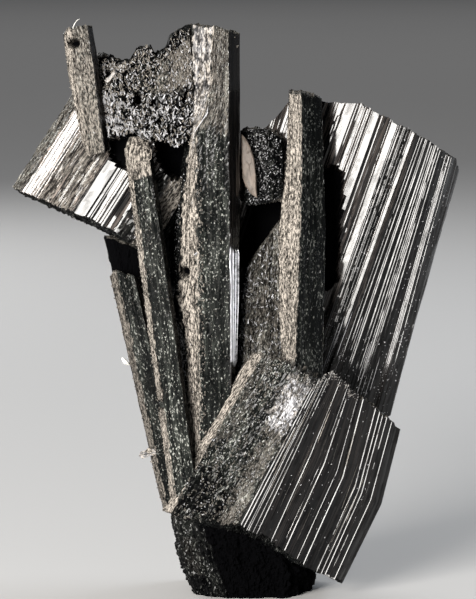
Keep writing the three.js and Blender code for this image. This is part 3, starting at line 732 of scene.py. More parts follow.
class ShaderTree:
    """The nodes of one material."""

    def __init__(self, name: str) -> None:
        """Starts a material with an empty tree.

        Args:
            name: The material's name.
        """
        self.material = bpy.data.materials.new(name)
        self.material.use_nodes = True
        self.tree = self.material.node_tree
        self.tree.nodes.clear()

    def node(self, kind: str, settings: dict[str, object], inputs: dict[object, object]) -> bpy.types.Node:
        """Adds a node.

        Args:
            kind: The node's type.
            settings: Properties of the node, set before its sockets.
            inputs: Values or links of its input sockets, by name or number.

        Returns:
            The new node.
        """
        made = self.tree.nodes.new(kind)
        for key, value in settings.items():
            setattr(made, key, value)
        for key, value in inputs.items():
            source = value.socket if isinstance(value, Value) else value
            if isinstance(source, bpy.types.NodeSocket):
                self.tree.links.new(source, made.inputs[key])
            else:
                made.inputs[key].default_value = source
        return made

    def mark(self, name: str) -> Value:
        """One number kept at the points of the mesh."""
        node = self.node("ShaderNodeAttribute", {"attribute_name": name}, {})
        return Value(self, node.outputs["Fac"])

    def grown(self, cell: Point) -> bpy.types.NodeSocket:
        """The growth coordinates, counted in cells.

        Args:
            cell: Size of a cell across, along and from face to face.

        Returns:
            The socket of the counted coordinates.
        """
        growth = self.node("ShaderNodeAttribute", {"attribute_name": "growth"}, {})
        inputs = {0: growth.outputs["Vector"], 1: tuple(1.0 / size for size in cell)}
        return self.node("ShaderNodeVectorMath", {"operation": "MULTIPLY"}, inputs).outputs[0]

    def noise(self, vector: bpy.types.NodeSocket, detail: float = 2.0, roughness: float = 0.6) -> Value:
        """Noise over these coordinates."""
        inputs = {"Vector": vector, "Scale": 1.0, "Detail": detail, "Roughness": roughness}
        return Value(self, self.node("ShaderNodeTexNoise", {}, inputs).outputs["Fac"])

    def blend(self, share: object, first: object, second: object) -> bpy.types.NodeSocket:
        """Mixes two colours and gives the mixed one."""
        node = self.node("ShaderNodeMix", {"data_type": "RGBA"}, {"Factor": share, 6: first, 7: second})
        return node.outputs[2]

    def relief(self, strength: float, depth: float, height: Value) -> bpy.types.NodeSocket:
        """The normals of a fine relief, whose depth is in mm."""
        inputs = {"Strength": strength, "Distance": depth * MM, "Height": height}
        return self.node("ShaderNodeBump", {}, inputs).outputs["Normal"]

    def finished(self, inputs: dict[object, object]) -> bpy.types.Material:
        """Ends the tree with its one shader.

        Args:
            inputs: Values or links of the shader's sockets, by name.

        Returns:
            The finished node material.
        """
        shader = self.node("ShaderNodeBsdfPrincipled", {}, inputs)
        self.node("ShaderNodeOutputMaterial", {}, {"Surface": shader.outputs[0]})
        return self.material


@dataclass(frozen=True)
class AmphiboleFinish:
    """Black amphibole: mirror-bright reeds, grey-green frost, tan faces painted lighter where light falls,
    and hollows painted black with shade.
    """

    name: str = "black_amphibole"
    black: tuple[float, ...] = (0.001, 0.0011, 0.0014, 1.0)
    haze_dark: tuple[float, ...] = (0.0015, 0.002, 0.0018, 1.0)
    haze_light: tuple[float, ...] = (0.027, 0.03, 0.026, 1.0)
    fleck: tuple[float, ...] = (0.25, 0.255, 0.235, 1.0)
    tan_dark: tuple[float, ...] = (0.02, 0.018, 0.0155, 1.0)
    tan_light: tuple[float, ...] = (0.36, 0.325, 0.285, 1.0)
    veil_cool: tuple[float, ...] = (0.05, 0.048, 0.048, 1.0)
    veil_warm: tuple[float, ...] = (0.3, 0.25, 0.22, 1.0)
    shade_black: tuple[float, ...] = (0.0005, 0.0005, 0.0007, 1.0)
    white: tuple[float, ...] = (0.76, 0.77, 0.82, 1.0)
    lustre: float = 1.45
    under_sheen: float = 0.03
    coat_lustre: float = 1.42
    coat_roughness: float = 0.1
    bump_strength: float = 0.55
    bump_depth: float = 0.02
    hair_cell: Point = (0.05, 2.6, 1.0)
    streak_cell: Point = (0.26, 4.0, 1.0)
    fleck_cell: Point = (0.14, 0.3, 1.0)
    pit_cell: Point = (0.13, 0.42, 1.0)
    cloud_cell: Point = (1.5, 4.0, 1.0)
    line_cell: Point = (0.07, 6.0, 1.0)
    sheet_cell: Point = (0.4, 9.0, 1.0)
    haze_step: Span = (0.46, 0.68)
    worn_step: Span = (0.78, 0.88)
    tan_and_lit_step: Span = (0.58, 0.74)
    veiled_step: Span = (0.5, 0.66)
    veil_step: Span = (0.4, 0.56)
    frost_step: Span = (0.1, 0.6)
    warmth_step: Span = (0.35, 0.65)
    ice_step: Span = (0.55, 0.8)

    def material(self) -> bpy.types.Material:
        """Builds the material.

        Returns:
            The finished node material.
        """
        t = ShaderTree(self.name)
        frost, warmth, dark_and_shade, veil, ice = (t.mark(name) for name in MARK_NAMES)
        hairs = t.noise(t.grown(self.hair_cell))
        streaks = t.noise(t.grown(self.streak_cell), 3.0)
        flecks = t.noise(t.grown(self.fleck_cell), 3.0)
        pits = t.noise(t.grown(self.pit_cell), 4.0, 0.75)
        clouds = t.noise(t.grown(self.cloud_cell))
        hazy = (0.6 * streaks + 0.4 * clouds).stepped(*self.haze_step)
        haze = t.blend(hazy, self.haze_dark, self.haze_light)
        flecked = (flecks + 0.25 * clouds + 0.15 * streaks).stepped(*self.worn_step)
        worn = t.blend(flecked, haze, self.fleck)
        tanned = (pits + 0.3 * streaks).stepped(*self.tan_and_lit_step)
        tan_and_lit = t.blend(tanned, self.tan_dark, self.tan_light)
        lines = t.noise(t.grown(self.line_cell), 1.0)
        sheets = t.noise(t.grown(self.sheet_cell), 1.0)
        warm = (0.6 * lines + 0.5 * sheets).stepped(*self.veiled_step)
        veiled = t.blend(warm, self.veil_cool, self.veil_warm)
        colour = t.blend(veil * lines.stepped(*self.veil_step), self.black, veiled)
        colour = t.blend(frost.stepped(*self.frost_step), colour, worn)
        # Tan, painted lighter on the bevels where light falls on them.
        colour = t.blend(warmth * (pits + 0.4 * clouds).stepped(*self.warmth_step), colour, tan_and_lit)
        # White grains, and painted reflections and glints.
        colour = t.blend(ice * (lines + 0.5 * pits).stepped(*self.ice_step), colour, self.white)
        height = 0.35 * hairs + 0.5 * frost * flecks + 0.6 * warmth * pits
        return t.finished({
            # The darkness mark paints shade black and takes away the coat's gloss.
            "Base Color": t.blend(dark_and_shade, colour, self.shade_black),
            "Roughness": 0.35 + 0.3 * frost + 0.1 * warmth + 0.5 * dark_and_shade,
            "IOR": self.lustre,
            "Specular IOR Level": self.under_sheen,
            "Coat Weight": (1 - frost) * (0.58 + 0.6 * streaks) * (1 - dark_and_shade),
            "Coat Roughness": self.coat_roughness,
            "Coat IOR": self.coat_lustre,
            "Normal": t.relief(self.bump_strength, self.bump_depth, height),
        })


@dataclass(frozen=True)
class StoneFinish:
    """A pale mineral: two tones clouded together, with fine grain."""

    name: str
    light: tuple[float, ...]
    dark: tuple[float, ...]
    roughness: float
    cell: float
    stretch: float = 2.4
    grain_cell: Point = (0.06, 0.09, 1.0)
    grain_sheen: float = 0.2
    tone_step: Span = (0.45, 0.85)
    bump_strength: float = 0.4
    bump_depth: float = 0.03

    def material(self) -> bpy.types.Material:
        """Builds the material.

        Returns:
            The finished node material.
        """
        t = ShaderTree(self.name)
        clouds = t.noise(t.grown((self.cell, self.cell * self.stretch, 1.0)), 3.0)
        grain = t.noise(t.grown(self.grain_cell))
        return t.finished({
            "Base Color": t.blend((clouds + 0.3 * grain).stepped(*self.tone_step), self.dark, self.light),
            "Roughness": self.roughness + self.grain_sheen * grain,
            "Normal": t.relief(self.bump_strength, self.bump_depth, grain),
        })


AMPHIBOLE = AmphiboleFinish()
FLAKE_STONE = StoneFinish("pale_leaf", (0.13, 0.103, 0.083, 1.0), (0.06, 0.049, 0.04, 1.0), 0.5, 0.5)
GRAIN_STONE = StoneFinish("white_mineral", (0.86, 0.85, 0.8, 1.0), (0.62, 0.6, 0.54, 1.0), 0.4, 0.2)
DUST = StoneFinish("dust_fibre", (0.75, 0.74, 0.7, 1.0), (0.5, 0.49, 0.46, 1.0), 0.7, 0.2)


@functools.cache
def material_of(finish: AmphiboleFinish | StoneFinish) -> bpy.types.Material:
    """The material of a finish, built once."""
    return finish.material()


# ------------------------------------------------------------------- pieces
class Pattern(Enum):
    """Random patterns of a crystal, each with the factors of the crystal's seed and of a part's number."""

    FACE = (97, 13)
    WANDER = (31, 1)
    END = (53, 1)
    SPRINKLE = (71, 1)
    GROWTH = (7.3, 1.7)


# Steps in seed that keep the patterns of one face apart.
SWELL_SEEDS = 1
GRIT_SEEDS = 20
PATCH_SEEDS = 40
PATCH_GRIT_SEEDS = 60
COVER_SEEDS = 11
SPLINTER_SEEDS = 5
LATH_KEY = 7

# How far the columns of a face run over its ends: strip by strip, in swellings and one by one.
RAG_STRIP = 0.55
RAG_SWELL = 0.6
RAG_FINE = 0.25
RAG_CELL = (1.1, 1.0)
RAG_REACHES = 4
LEAST_RAG_REACH = 0.6

# Swellings of a face, ragged borders, pits between grains painted dark with shade, and the wander of its
# edges, mm.
SWAY_CELL = (1.2, 7.0)
SWELL_CELL = (1.6, 4.5)
SWELL_HEIGHT = 0.03
BORDER_MEAN = 0.5
BORDER_SWELL = 0.9
BORDER_CELL = (0.35, 1.0)
PIT_SHADE_DEPTHS = 1.6
EDGE_GRIT = 0.35
EDGE_REACH = 0.15
WANDER_CELL = (0.9, 1.0)
WANDER_FADE = 0.4

# Rows of the sides and rings of the broken ends.
LEAST_ROWS = 6
LEAST_RINGS = 3
RING_GAP = 0.6
GROUND_WAY = (0.3, 1.0, 0.2)
END_GROWTH = 3.1
END_RIM = 0.12

# Splinters on the faces: where their direction is read, their lift and the spread of their sizes.
AXIS_ROWS = 6
SPLINTER_LIFT = 0.2
SPLINTER_LENGTHS = (0.6, 1.3)
SPLINTER_WIDTHS = (0.7, 1.4)


class Piece:
    """One mesh of the specimen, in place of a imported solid."""

    name: str
    node = CLUSTER_NODE
    slot: str | None = "black_amphibole"
    finish: AmphiboleFinish | StoneFinish = AMPHIBOLE
    sharp_degrees = 13.0

    def shell(self) -> Shell:
        """The form of the piece, in millimetres."""
        raise NotImplementedError

    def build(self) -> bpy.types.Object:
        """Makes the mesh object with its growth coordinates and marks.

        Returns:
            The object, linked into the scene.
        """
        shell = self.shell()
        mesh = bpy.data.meshes.new(self.name)
        mesh.from_pydata((shell.points * MM).tolist(), [], shell.triangles.tolist())
        growth = mesh.attributes.new("growth", "FLOAT_VECTOR", "POINT")
        growth.data.foreach_set("vector", shell.growth.ravel())
        for name, column in zip(MARK_NAMES, shell.marks.T):
            mark = mesh.attributes.new(name, "FLOAT", "POINT")
            mark.data.foreach_set("value", np.ascontiguousarray(column))
        mesh.shade_smooth()
        mesh.set_sharp_from_angle(angle=math.radians(self.sharp_degrees))
        made = bpy.data.objects.new(self.name, mesh)
        bpy.context.scene.collection.objects.link(made)
        return made

    def dress(self, made: bpy.types.Object) -> None:
        """Gives the object its finish and its place in the frame.

        Args:
            made: The object that build made.
        """
        made.data.materials.append(material_of(self.finish))
        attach(made, ROOT_BODY)
        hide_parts(self.node)


@dataclass
class GrownCrystal(Piece):
    """A prism lofted from its long edges, which go round it from the left over the front."""

    name: str
    edges: tuple[Edge, ...]
    faces: tuple[FaceForm, ...]
    low_end: EndForm = EndForm()
    high_end: EndForm = EndForm()
    row: float = 0.16
    wander: float = 0.03
    seed: int = 1
    sprinkles: tuple[Sprinkle, ...] = ()
    hollows: tuple[Hollow | Shadow, ...] = ()
    shards: tuple[Shard, ...] = ()

    def pattern(self, kind: Pattern, number: int) -> float:
        """The seed of one of the crystal's random patterns."""
        own, step = kind.value
        return self.seed * own + number * step

    def columns(self, face: int, width: float) -> FaceGrid:
        """Sets out the columns of a face.

        Args:
            face: Number of the face.
            width: Its mean width, mm.

        Returns:
            Their shares of the width, their heights and how far each end runs over.
        """
        form = self.faces[face]
        rng = np.random.default_rng([self.seed, face])
        if form.reeds:
            places, levels = form.reeds.strips(width, rng)
        else:
            places, levels = np.array([0.0, 1.0]), np.zeros(2)
        steps = np.maximum(np.ceil(np.diff(places) * width / form.column).astype(int), 1)
        shares = np.concatenate([
            np.linspace(a, b, n, endpoint=False) for a, b, n in zip(places[:-1], places[1:], steps)
        ])
        strip = np.repeat(np.arange(len(steps)), steps)
        ends = []
        for end in (self.low_end, self.high_end):
            per_strip = rng.uniform(-1, 1, len(steps))[strip]
            swell = soft_noise(shares * width, np.zeros(len(shares)), RAG_CELL, self.seed + face)
            rag = RAG_STRIP * per_strip + RAG_SWELL * swell + RAG_FINE * rng.uniform(-1, 1, len(shares))
            ends.append(end.ragged * rag)
        return FaceGrid(shares, np.interp(shares, places, levels), np.array(ends))

    def lengths(self, skeleton: Skeleton, grid: FaceGrid, rows: Array) -> Array:
        """Lengths of every row and column, run out to the ragged ends.

        Args:
            skeleton: The crystal's edges.
            grid: The columns of the face.
            rows: Lengths of the rows, mm.

        Returns:
            One length for each row and column.
        """
        reach = max(RAG_REACHES * max(self.low_end.ragged, self.high_end.ragged), LEAST_RAG_REACH)
        low = np.clip(1 - rows / reach, 0, 1)[:, None]
        high = np.clip(1 - (skeleton.length - rows) / reach, 0, 1)[:, None]
        return rows[:, None] - low * grid.ends[0] + high * grid.ends[1]

    def relief(
        self, face: int, across: Array, lengths: Array, grid: FaceGrid, width: float
    ) -> tuple[Array, Array]:
        """Heights and marks of a face.

        Args:
            face: Number of the face.
            across: Places of the columns across the face, mm.
            lengths: Lengths of every row and column, mm.
            grid: The columns of the face.
            width: Its mean width, mm.

        Returns:
            Heights in mm, and the surface marks of every row and column.
        """
        form = self.faces[face]
        seed = self.pattern(Pattern.FACE, face)
        share = lengths / float(lengths.max())
        height = grid.heights + 0 * lengths
        if form.reeds:
            sway = 1 + form.reeds.waver * soft_noise(across, lengths, SWAY_CELL, seed)
            height = height * sway * form.reeds.standing(share)
        height = height + SWELL_HEIGHT * soft_noise(across, lengths, SWELL_CELL, seed + SWELL_SEEDS)
        if form.laths:
            rng = np.random.default_rng([self.seed, face, LATH_KEY])
            height = form.laths.laid(height, across, lengths, width, rng)
        marks = np.broadcast_to(np.array(form.ground.value), height.shape + (len(MARK_NAMES),)).copy()
        grit = self.gritted(form.grit, across, lengths, seed + GRIT_SEEDS)
        for number, patch in enumerate(form.patches):
            cover = patch.cover(across, share, width, seed + PATCH_SEEDS + number)
            marks += cover[..., None] * (np.array(patch.ground.value) - marks)
            own = self.gritted(patch.grit or form.grit, across, lengths, seed + PATCH_GRIT_SEEDS)
            grit = grit * (1 - cover) + cover * own
        marks = self.bordered(marks, face, ((across, face - 1), (width - across, face + 1)), lengths)
        # Painted shade: the low places between grains are darkened.
        shade_in_pits = form.pit_shade * ramp(-grit, 0.0, max(float(grit.std()) * PIT_SHADE_DEPTHS, TINY))
        marks[..., DARK_AND_SHADE] = np.maximum(marks[..., DARK_AND_SHADE], shade_in_pits)
        rim = np.minimum(across, width - across)
        return height + grit * (EDGE_GRIT + (1 - EDGE_GRIT) * ramp(rim, 0.0, EDGE_REACH)), marks

    def bordered(
        self, marks: Array, face: int, sides: tuple[tuple[Array, int], ...], lengths: Array
    ) -> Array:
        """Lets the faces on both sides run a little over the edges of a face, in a ragged line.

        Args:
            marks: Surface marks of the face.
            face: Number of the face.
            sides: The distance of every column from each long edge, mm, and the face beyond that edge.
            lengths: Lengths of every row and column, mm.

        Returns:
            The marks with both borders.
        """
        form = self.faces[face]
        for side, (gap, beyond) in enumerate(sides):
            swell = soft_noise(lengths, lengths * 0, BORDER_CELL, self.pattern(Pattern.FACE, face) + side)
            rag = form.border * (BORDER_MEAN + BORDER_SWELL * swell)
            other = self.faces[beyond % len(self.faces)].ground
            marks = np.where((gap < rag)[..., None], np.array(other.value), marks)
        return marks

    @staticmethod
    def gritted(cover: tuple[Grit, ...], across: Array, lengths: Array, seed: int) -> Array:
        """Adds up several covers of grains.

        Args:
            cover: The covers.
            across: Places across the face, mm.
            lengths: Lengths along it, mm.
            seed: Picks the patterns.

        Returns:
            Heights, mm.
        """
        total = np.zeros(lengths.shape)
        for number, grit in enumerate(cover):
            rise = tilted_grains(across, lengths, grit.cell, seed + COVER_SEEDS * number, grit.tilt)
            total = total + grit.height * rise
        return total

    def side(self, face: int, skeleton: Skeleton, rows: Array, girth: float) -> tuple[Array, ...]:
        """Sets out one face of the crystal.

        Args:
            face: Number of the face.
            skeleton: The crystal's edges.
            rows: Lengths of the rows, mm.
            girth: Width of all the faces before this one, mm.

        Returns:
            Points, growth coordinates, marks and outward directions, by row and column.
        """
        width = skeleton.width(face)
        grid = self.columns(face, width)
        lengths = self.lengths(skeleton, grid, rows)
        across = grid.shares * width
        height, marks = self.relief(face, across, lengths, grid, width)
        base = skeleton.at(face, lengths)
        edge_to_edge = skeleton.at(face + 1, lengths) - base
        outward = skeleton.outward(face, lengths)
        outward[:, :1] = unit(outward[:, :1] + skeleton.outward(face - 1, lengths[:, :1]))
        swell = soft_noise(lengths, lengths * 0, WANDER_CELL, self.pattern(Pattern.WANDER, face))
        drift = self.wander * swell * (1 - ramp(across, 0.0, min(WANDER_FADE, width / 2)))
        points = base + edge_to_edge * grid.shares[:, None]
        points = points + outward * height[..., None] + unit(edge_to_edge) * drift[..., None]
        seeds = np.full(lengths.shape, self.pattern(Pattern.GROWTH, face))
        growth = np.stack([girth + across + 0 * lengths, lengths, seeds], 2)
        return points, growth, marks, outward

    def shell(self) -> Shell:
        """Lofts the crystal.

        Returns:
            Its sides, both ends and whatever stands on it.
        """
        skeleton = Skeleton(self.edges)
        rows = np.linspace(0, skeleton.length, max(int(skeleton.length / self.row), LEAST_ROWS) + 1)
        faces = range(len(self.faces))
        girths = np.cumsum([0.0, *(skeleton.width(face) for face in faces)])
        sides = [self.side(face, skeleton, rows, girths[face]) for face in faces]
        owner = np.repeat(faces, [side[0].shape[1] for side in sides])
        points, growth, marks, outward = (np.concatenate(part, axis=1) for part in zip(*sides))
        body = self.closed(points, growth, marks)
        self.press(body.points, body.marks)
        self.press(points, marks)
        return Shell.joined([body, *self.sprinkled(points, outward, owner), *self.splintered()])

    def press(self, points: Array, marks: Array) -> None:
        """Pushes in the hollows and paints shade in them.

        Args:
            points: Points of the sides, changed in place.
            marks: Their marks, changed in place.
        """
        for hollow in self.hollows:
            depth = hollow.depth(points)
            points += depth[..., None] * np.array(hollow.push)
            marks[..., DARK_AND_SHADE] = np.maximum(marks[..., DARK_AND_SHADE], hollow.dark_and_shade * depth)

    def closed(self, points: Array, growth: Array, marks: Array) -> Shell:
        """Closes the sides with both ends.

        Args:
            points: Points of the sides, by row and column.
            growth: Their growth coordinates.
            marks: Their marks.

        Returns:
            The closed crystal.
        """
        columns = points.shape[1]
        parts = [points.reshape(-1, 3)]
        coords = [growth.reshape(-1, 3)]
        tones = [marks.reshape(-1, len(MARK_NAMES))]
        triangles = [grid_triangles(len(points), columns)]
        axis = unit(points[-1].mean(0) - points[0].mean(0))
        count = points.shape[0] * columns
        for top, end in ((False, self.low_end), (True, self.high_end)):
            ring = points[-1 if top else 0]
            rings, tip, places = self.end_rings(ring, axis if top else -axis, end, top)
            first = (len(points) - 1) * columns if top else 0
            centre = count + len(rings) * columns
            start = np.concatenate([np.arange(columns) + first, np.arange(count, centre)])
            found = start[grid_triangles(len(rings) + 1, columns)]
            last = start[-columns:]
            fan = np.stack([last, np.roll(last, -1), np.full(columns, centre)], 1)
            found = np.concatenate([found, fan])
            triangles.append(found if top else found[:, ::-1])
            parts += [rings.reshape(-1, 3), tip[None]]
            coords.append(np.concatenate([places, np.full((len(places), 1), self.seed + END_GROWTH)], 1))
            tones.append(np.tile(np.array(end.ground.value), (len(places), 1)))
            count = centre + 1
        return Shell(
            np.concatenate(parts), np.concatenate(triangles), np.concatenate(coords), np.concatenate(tones)
        )

    def end_rings(self, ring: Array, outward: Array, end: EndForm, top: bool) -> tuple[Array, Array, Array]:
        """Rings that close one end over broken ground.

        Args:
            ring: The last ring of the sides.
            outward: Direction out of the end.
            end: How the end is broken.
            top: Whether it is the upper end.

        Returns:
            The inner rings, the tip, and their places on the broken ground, mm.
        """
        centre = ring.mean(0)
        radius = float(np.linalg.norm(ring - centre, axis=1).max())
        number = max(int(radius / end.ring), LEAST_RINGS)
        shares = (np.arange(1, number + 1) / (number + RING_GAP))[:, None, None]
        flat = ring + (centre - ring) * shares
        flat = np.concatenate([flat.reshape(-1, 3), centre[None]])
        first = unit(np.cross(outward, np.array(GROUND_WAY)))
        second = np.cross(outward, first)
        places = np.stack([flat @ first, flat @ second], 1)
        inside = np.concatenate([np.repeat(shares.ravel(), len(ring)), [1.0]])
        rise = self.gritted(end.grit, places[:, 0], places[:, 1], self.pattern(Pattern.END, int(top)))
        lift = end.dome * (1 - (1 - inside) ** 2) + rise * ramp(inside, 0.0, END_RIM)
        moved = flat + outward * lift[:, None]
        return moved[:-1].reshape(number, len(ring), 3), moved[-1], places

    def sprinkled(self, points: Array, outward: Array, owner: Array) -> list[Shell]:
        """Stands splinters and grains on the faces.

        Args:
            points: Points of the sides, by row and column.
            outward: Directions out of the sides.
            owner: The face that each column belongs to.

        Returns:
            One shell for each sprinkle.
        """
        shells = []
        for number, sprinkle in enumerate(self.sprinkles):
            seed = self.pattern(Pattern.SPRINKLE, number)
            rng = np.random.default_rng(seed)
            columns = np.flatnonzero(owner == sprinkle.face)
            low, high = (int(share * (len(columns) - 1)) for share in sprinkle.across)
            column = columns[rng.integers(low, high + 1, sprinkle.count)]
            first, last = (int(share * (len(points) - 1)) for share in sprinkle.along)
            row = rng.integers(first, last + 1, sprinkle.count)
            out = outward[row, column]
            size = rng.uniform(*sprinkle.size, sprinkle.count)
            below, above = (np.clip(row + rows, 0, len(points) - 1) for rows in (-AXIS_ROWS, AXIS_ROWS))
            axis = unit(points[above, column] - points[below, column])
            along = unit(axis + out * sprinkle.lean + sprinkle.stray * rng.normal(size=(sprinkle.count, 3)))
            at = points[row, column] + out * (SPLINTER_LIFT * size / sprinkle.slender)[:, None]
            long = size * rng.uniform(*SPLINTER_LENGTHS, sprinkle.count)
            wide = size / sprinkle.slender * rng.uniform(*SPLINTER_WIDTHS, sprinkle.count)
            tone = np.array(sprinkle.ground.value) * rng.uniform(sprinkle.dimmest, 1.0, (sprinkle.count, 1))
            shells.append(splinters(at, along, long, wide, self.shaded_in_hollows(at, tone), seed + SPLINTER_SEEDS))
        return shells

    def shaded_in_hollows(self, at: Array, marks: Array) -> Array:
        """Paints shade on what stands in a hollow.

        Args:
            at: Middle of each chip, mm.
            marks: Surface marks of each chip.

        Returns:
            The marks, darkened with painted shade.
        """
        for hollow in self.hollows:
            hollow_shade = np.maximum(hollow.depth(at), hollow.depth(at - np.array(hollow.push))) * hollow.dark_and_shade
            marks = marks * (1 - hollow_shade)[:, None]
            marks[:, DARK_AND_SHADE] = np.maximum(marks[:, DARK_AND_SHADE], hollow_shade)
        return marks

    def splintered(self) -> list[Shell]:
        """The crystal's own shards.

        Returns:
            One shell with all of them, or none.
        """
        if not self.shards:
            return []
        start, end = (np.array(ends) for ends in zip(*((shard.start, shard.end) for shard in self.shards)))
        marks = np.array([shard.ground.value for shard in self.shards])
        wide = np.array([shard.width for shard in self.shards])
        span = np.linalg.norm(end - start, axis=1)
        return [splinters((start + end) / 2, unit(end - start), span, wide, marks, self.seed)]


# ----------------------------------------------------------------- crystals
# Painted shade: hollows pushed back and painted black where shadows fall between the crystals; the ridge
# shadow is the one that the ridge prism casts on the reeded block.
CROWN_SHADOW = Shadow(
    ((-7.7, 42.0), (-4.0, 42.2), (-4.83, 37.28), (-5.9, 37.1), (-7.14, 38.98)),
    push=(0.0, 3.0, 0.0),
)
TIP_SHADOW = Shadow(
    ((-11.6, 39.5), (-11.7, 40.9), (-9.7, 40.9), (-9.7, 37.9), (-10.3, 38.15), (-10.95, 38.7)),
    push=(0.0, 1.0, 0.0),
)
RIDGE_SHADOW = Shadow(
    ((6.6, 38.0), (8.8, 38.4), (9.5, 37.5), (8.95, 27.9), (8.3, 27.1), (6.6, 27.1)),
    push=(0.0, 1.2, 0.0),
)
MIDDLE_SHADOW = Shadow(
    ((0.0, 38.0), (4.6, 38.0), (4.6, 30.0), (3.0, 29.4), (0.0, 29.2)),
    push=(0.0, 2.2, 0.0),
)
STAIR_STARTS = (0.02, 0.27, 0.52, 0.77)
STAIR_TREAD = 0.02
STAIR_TREAD_TURN = -80.0
STAIR_BACK = 0.22
STAIR_BACK_TURN = 31.0
BRIGHT_STAIRS = Reeds(
    flash_share=0.0, dull=(0.0, 4.0), reach=(0.29, 0.55), rest=0.03,
    bands=tuple(
        (share, share + span, turn)
        for start in STAIR_STARTS
        for share, span, turn in (
            (start, STAIR_TREAD, STAIR_TREAD_TURN),
            (start + STAIR_TREAD, STAIR_BACK, STAIR_BACK_TURN),
        )
    ),
)


@dataclass
class TallPrism(GrownCrystal):
    """The tallest prism: frosted front, ragged tan left bevel and a right side whose bright strip is partly
    a painted reflection.
    """

    name: str = "tall_prism"
    edges: tuple[Edge, ...] = (
        ((-4.32, -1.8, 8.02), (-4.66, -2.0, 22.01), (-5.28, -1.9, 26.5), (-5.08, -1.9, 34.57),
         (-4.18, -2.0, 41.36), (-4.09, -2.0, 43.67), (-4.08, -2.0, 46.15), (-4.08, -2.0, 51.02)),
        ((-3.41, -3.2, 8.08), (-3.48, -3.4, 22.18), (-3.56, -3.4, 26.66), (-3.73, -3.4, 34.69),
         (-3.81, -3.3, 41.43), (-2.83, -3.5, 43.74), (-2.3, -3.5, 46.21), (-2.21, -3.4, 50.96)),
        ((-0.63, -3.4, 8.11), (-0.62, -3.6, 22.2), (-0.62, -3.6, 26.68), (-0.71, -3.6, 34.71),
         (-0.8, -3.6, 41.45), (-0.8, -3.6, 43.74), (-0.79, -3.6, 46.22), (-0.79, -3.5, 50.44)),
        ((-0.36, -2.2, 7.91), (-0.18, -2.2, 22.04), (0.0, -2.1, 26.52), (0.18, -1.9, 34.57),
         (0.18, -1.9, 41.35), (0.18, -1.9, 43.66), (0.18, -1.9, 46.15), (0.18, -1.9, 50.22)),
        ((-0.73, 2.7, 7.08), (-0.45, 2.8, 21.43), (-0.27, 2.8, 26.01), (-0.18, 2.7, 34.21),
         (-0.18, 2.6, 41.1), (-0.18, 2.6, 43.45), (-0.18, 2.6, 45.97), (-0.27, 2.4, 49.93)),
        ((-5.11, 2.4, 7.32), (-6.0, 2.6, 21.46), (-6.36, 2.6, 26.03), (-6.16, 2.6, 34.22),
         (-4.69, 2.5, 41.11), (-4.15, 2.4, 43.46), (-3.96, 2.3, 45.99), (-3.78, 2.2, 50.48)),
    )
    faces: tuple[FaceForm, ...] = (
        FaceForm(0.08, Ground.BEVEL, None, COARSE_FROST, border=0.2, pit_shade=0.85, patches=(
            Patch((-0.2, 1.0), (0.76, 1.2), Ground.CRUMBLY, SPARKLE),
        )),
        FaceForm(
            0.08, Ground.FROSTED, Reeds(5.0, 0.1, dull=(0.0, 5.0), depth=0.03), FINE_FROST,
            Laths(6, height=0.03), pit_shade=0.7,
            patches=(Patch((-1.0, 2.0), (0.79, 1.2), Ground.PALE_FROST, COARSE_FROST, 0.4, 0.6),),
        ),
        FaceForm(0.3, Ground.MIRROR, BRIGHT_STAIRS, border=0.0, patches=(
            # Painted reflection: white lines on the bright strip.
            Patch((-1.0, 2.0), (0.3, 0.54), Ground.PAINTED_REFLECTION, feather=0.2),
        )),
        SIDE_FACE,
        BACK_FACE,
        FaceForm(0.16, Ground.SHADED_DARK_ROCK, Reeds(dull=(0.0, 12.0), depth=0.06), SPARKLE, Laths(6)),
    )
    high_end: EndForm = EndForm(0.22, 0.15)
    row: float = 0.14
    wander: float = 0.09
    seed: int = 11
    hollows: tuple[Hollow | Shadow, ...] = (
        Hollow((-4.82, -2.5, 29.07), (0.6, 1.4, 0.6), (0.25, 0.9, 0.0)),
        Hollow((-5.5, -1.6, 25.6), (0.7, 1.6, 2.4), (-0.35, 0.1, 0.0)),
        Hollow((-3.89, -2.9, 49.9), (0.2, 0.6, 0.2), (0.0, 0.3, 0.0)),
    )
    # The first three shards are pale chips where glints show: painted glints.
    shards: tuple[Shard, ...] = (
        Shard((-0.35, -2.7, 49.9), (-0.2, -2.4, 50.05), 0.14, Ground.BEVEL),
        Shard((-0.1, -2.4, 49.1), (0.06, -2.1, 49.25), 0.13, Ground.BEVEL),
        Shard((-3.85, -3.4, 30.7), (-3.6, -3.5, 30.9), 0.22, Ground.SNOWY),
        Shard((-2.22, -3.1, 50.6), (-2.27, -3.25, 48.1), 0.1, Ground.SNOWY),
        Shard((-2.28, -3.25, 48.2), (-2.3, -3.4, 45.9), 0.1, Ground.SNOWY),
        Shard((-2.3, -3.4, 46.0), (-2.78, -3.5, 43.1), 0.1, Ground.SNOWY),
        Shard((-2.76, -3.5, 43.2), (-3.85, -3.5, 41.6), 0.1, Ground.SNOWY),
    )
    sprinkles: tuple[Sprinkle, ...] = (
        Sprinkle(1, (0.0, 0.2), (0.0, 0.75), 260, (0.12, 0.32), Ground.BEVEL, 2.0, 0.8),
        Sprinkle(0, (0.1, 1.0), (0.0, 0.95), 420, (0.12, 0.36), Ground.BEVEL, 2.2, 0.8),
        Sprinkle(1, (0.1, 1.0), (0.0, 1.0), 420, (0.08, 0.2), Ground.PALE_FROST, 2.6, 0.3),
        Sprinkle(5, (0.5, 1.0), (0.2, 0.7), 160, (0.08, 0.22), Ground.SNOWY, 2.0, 0.8, 0.1),
    )


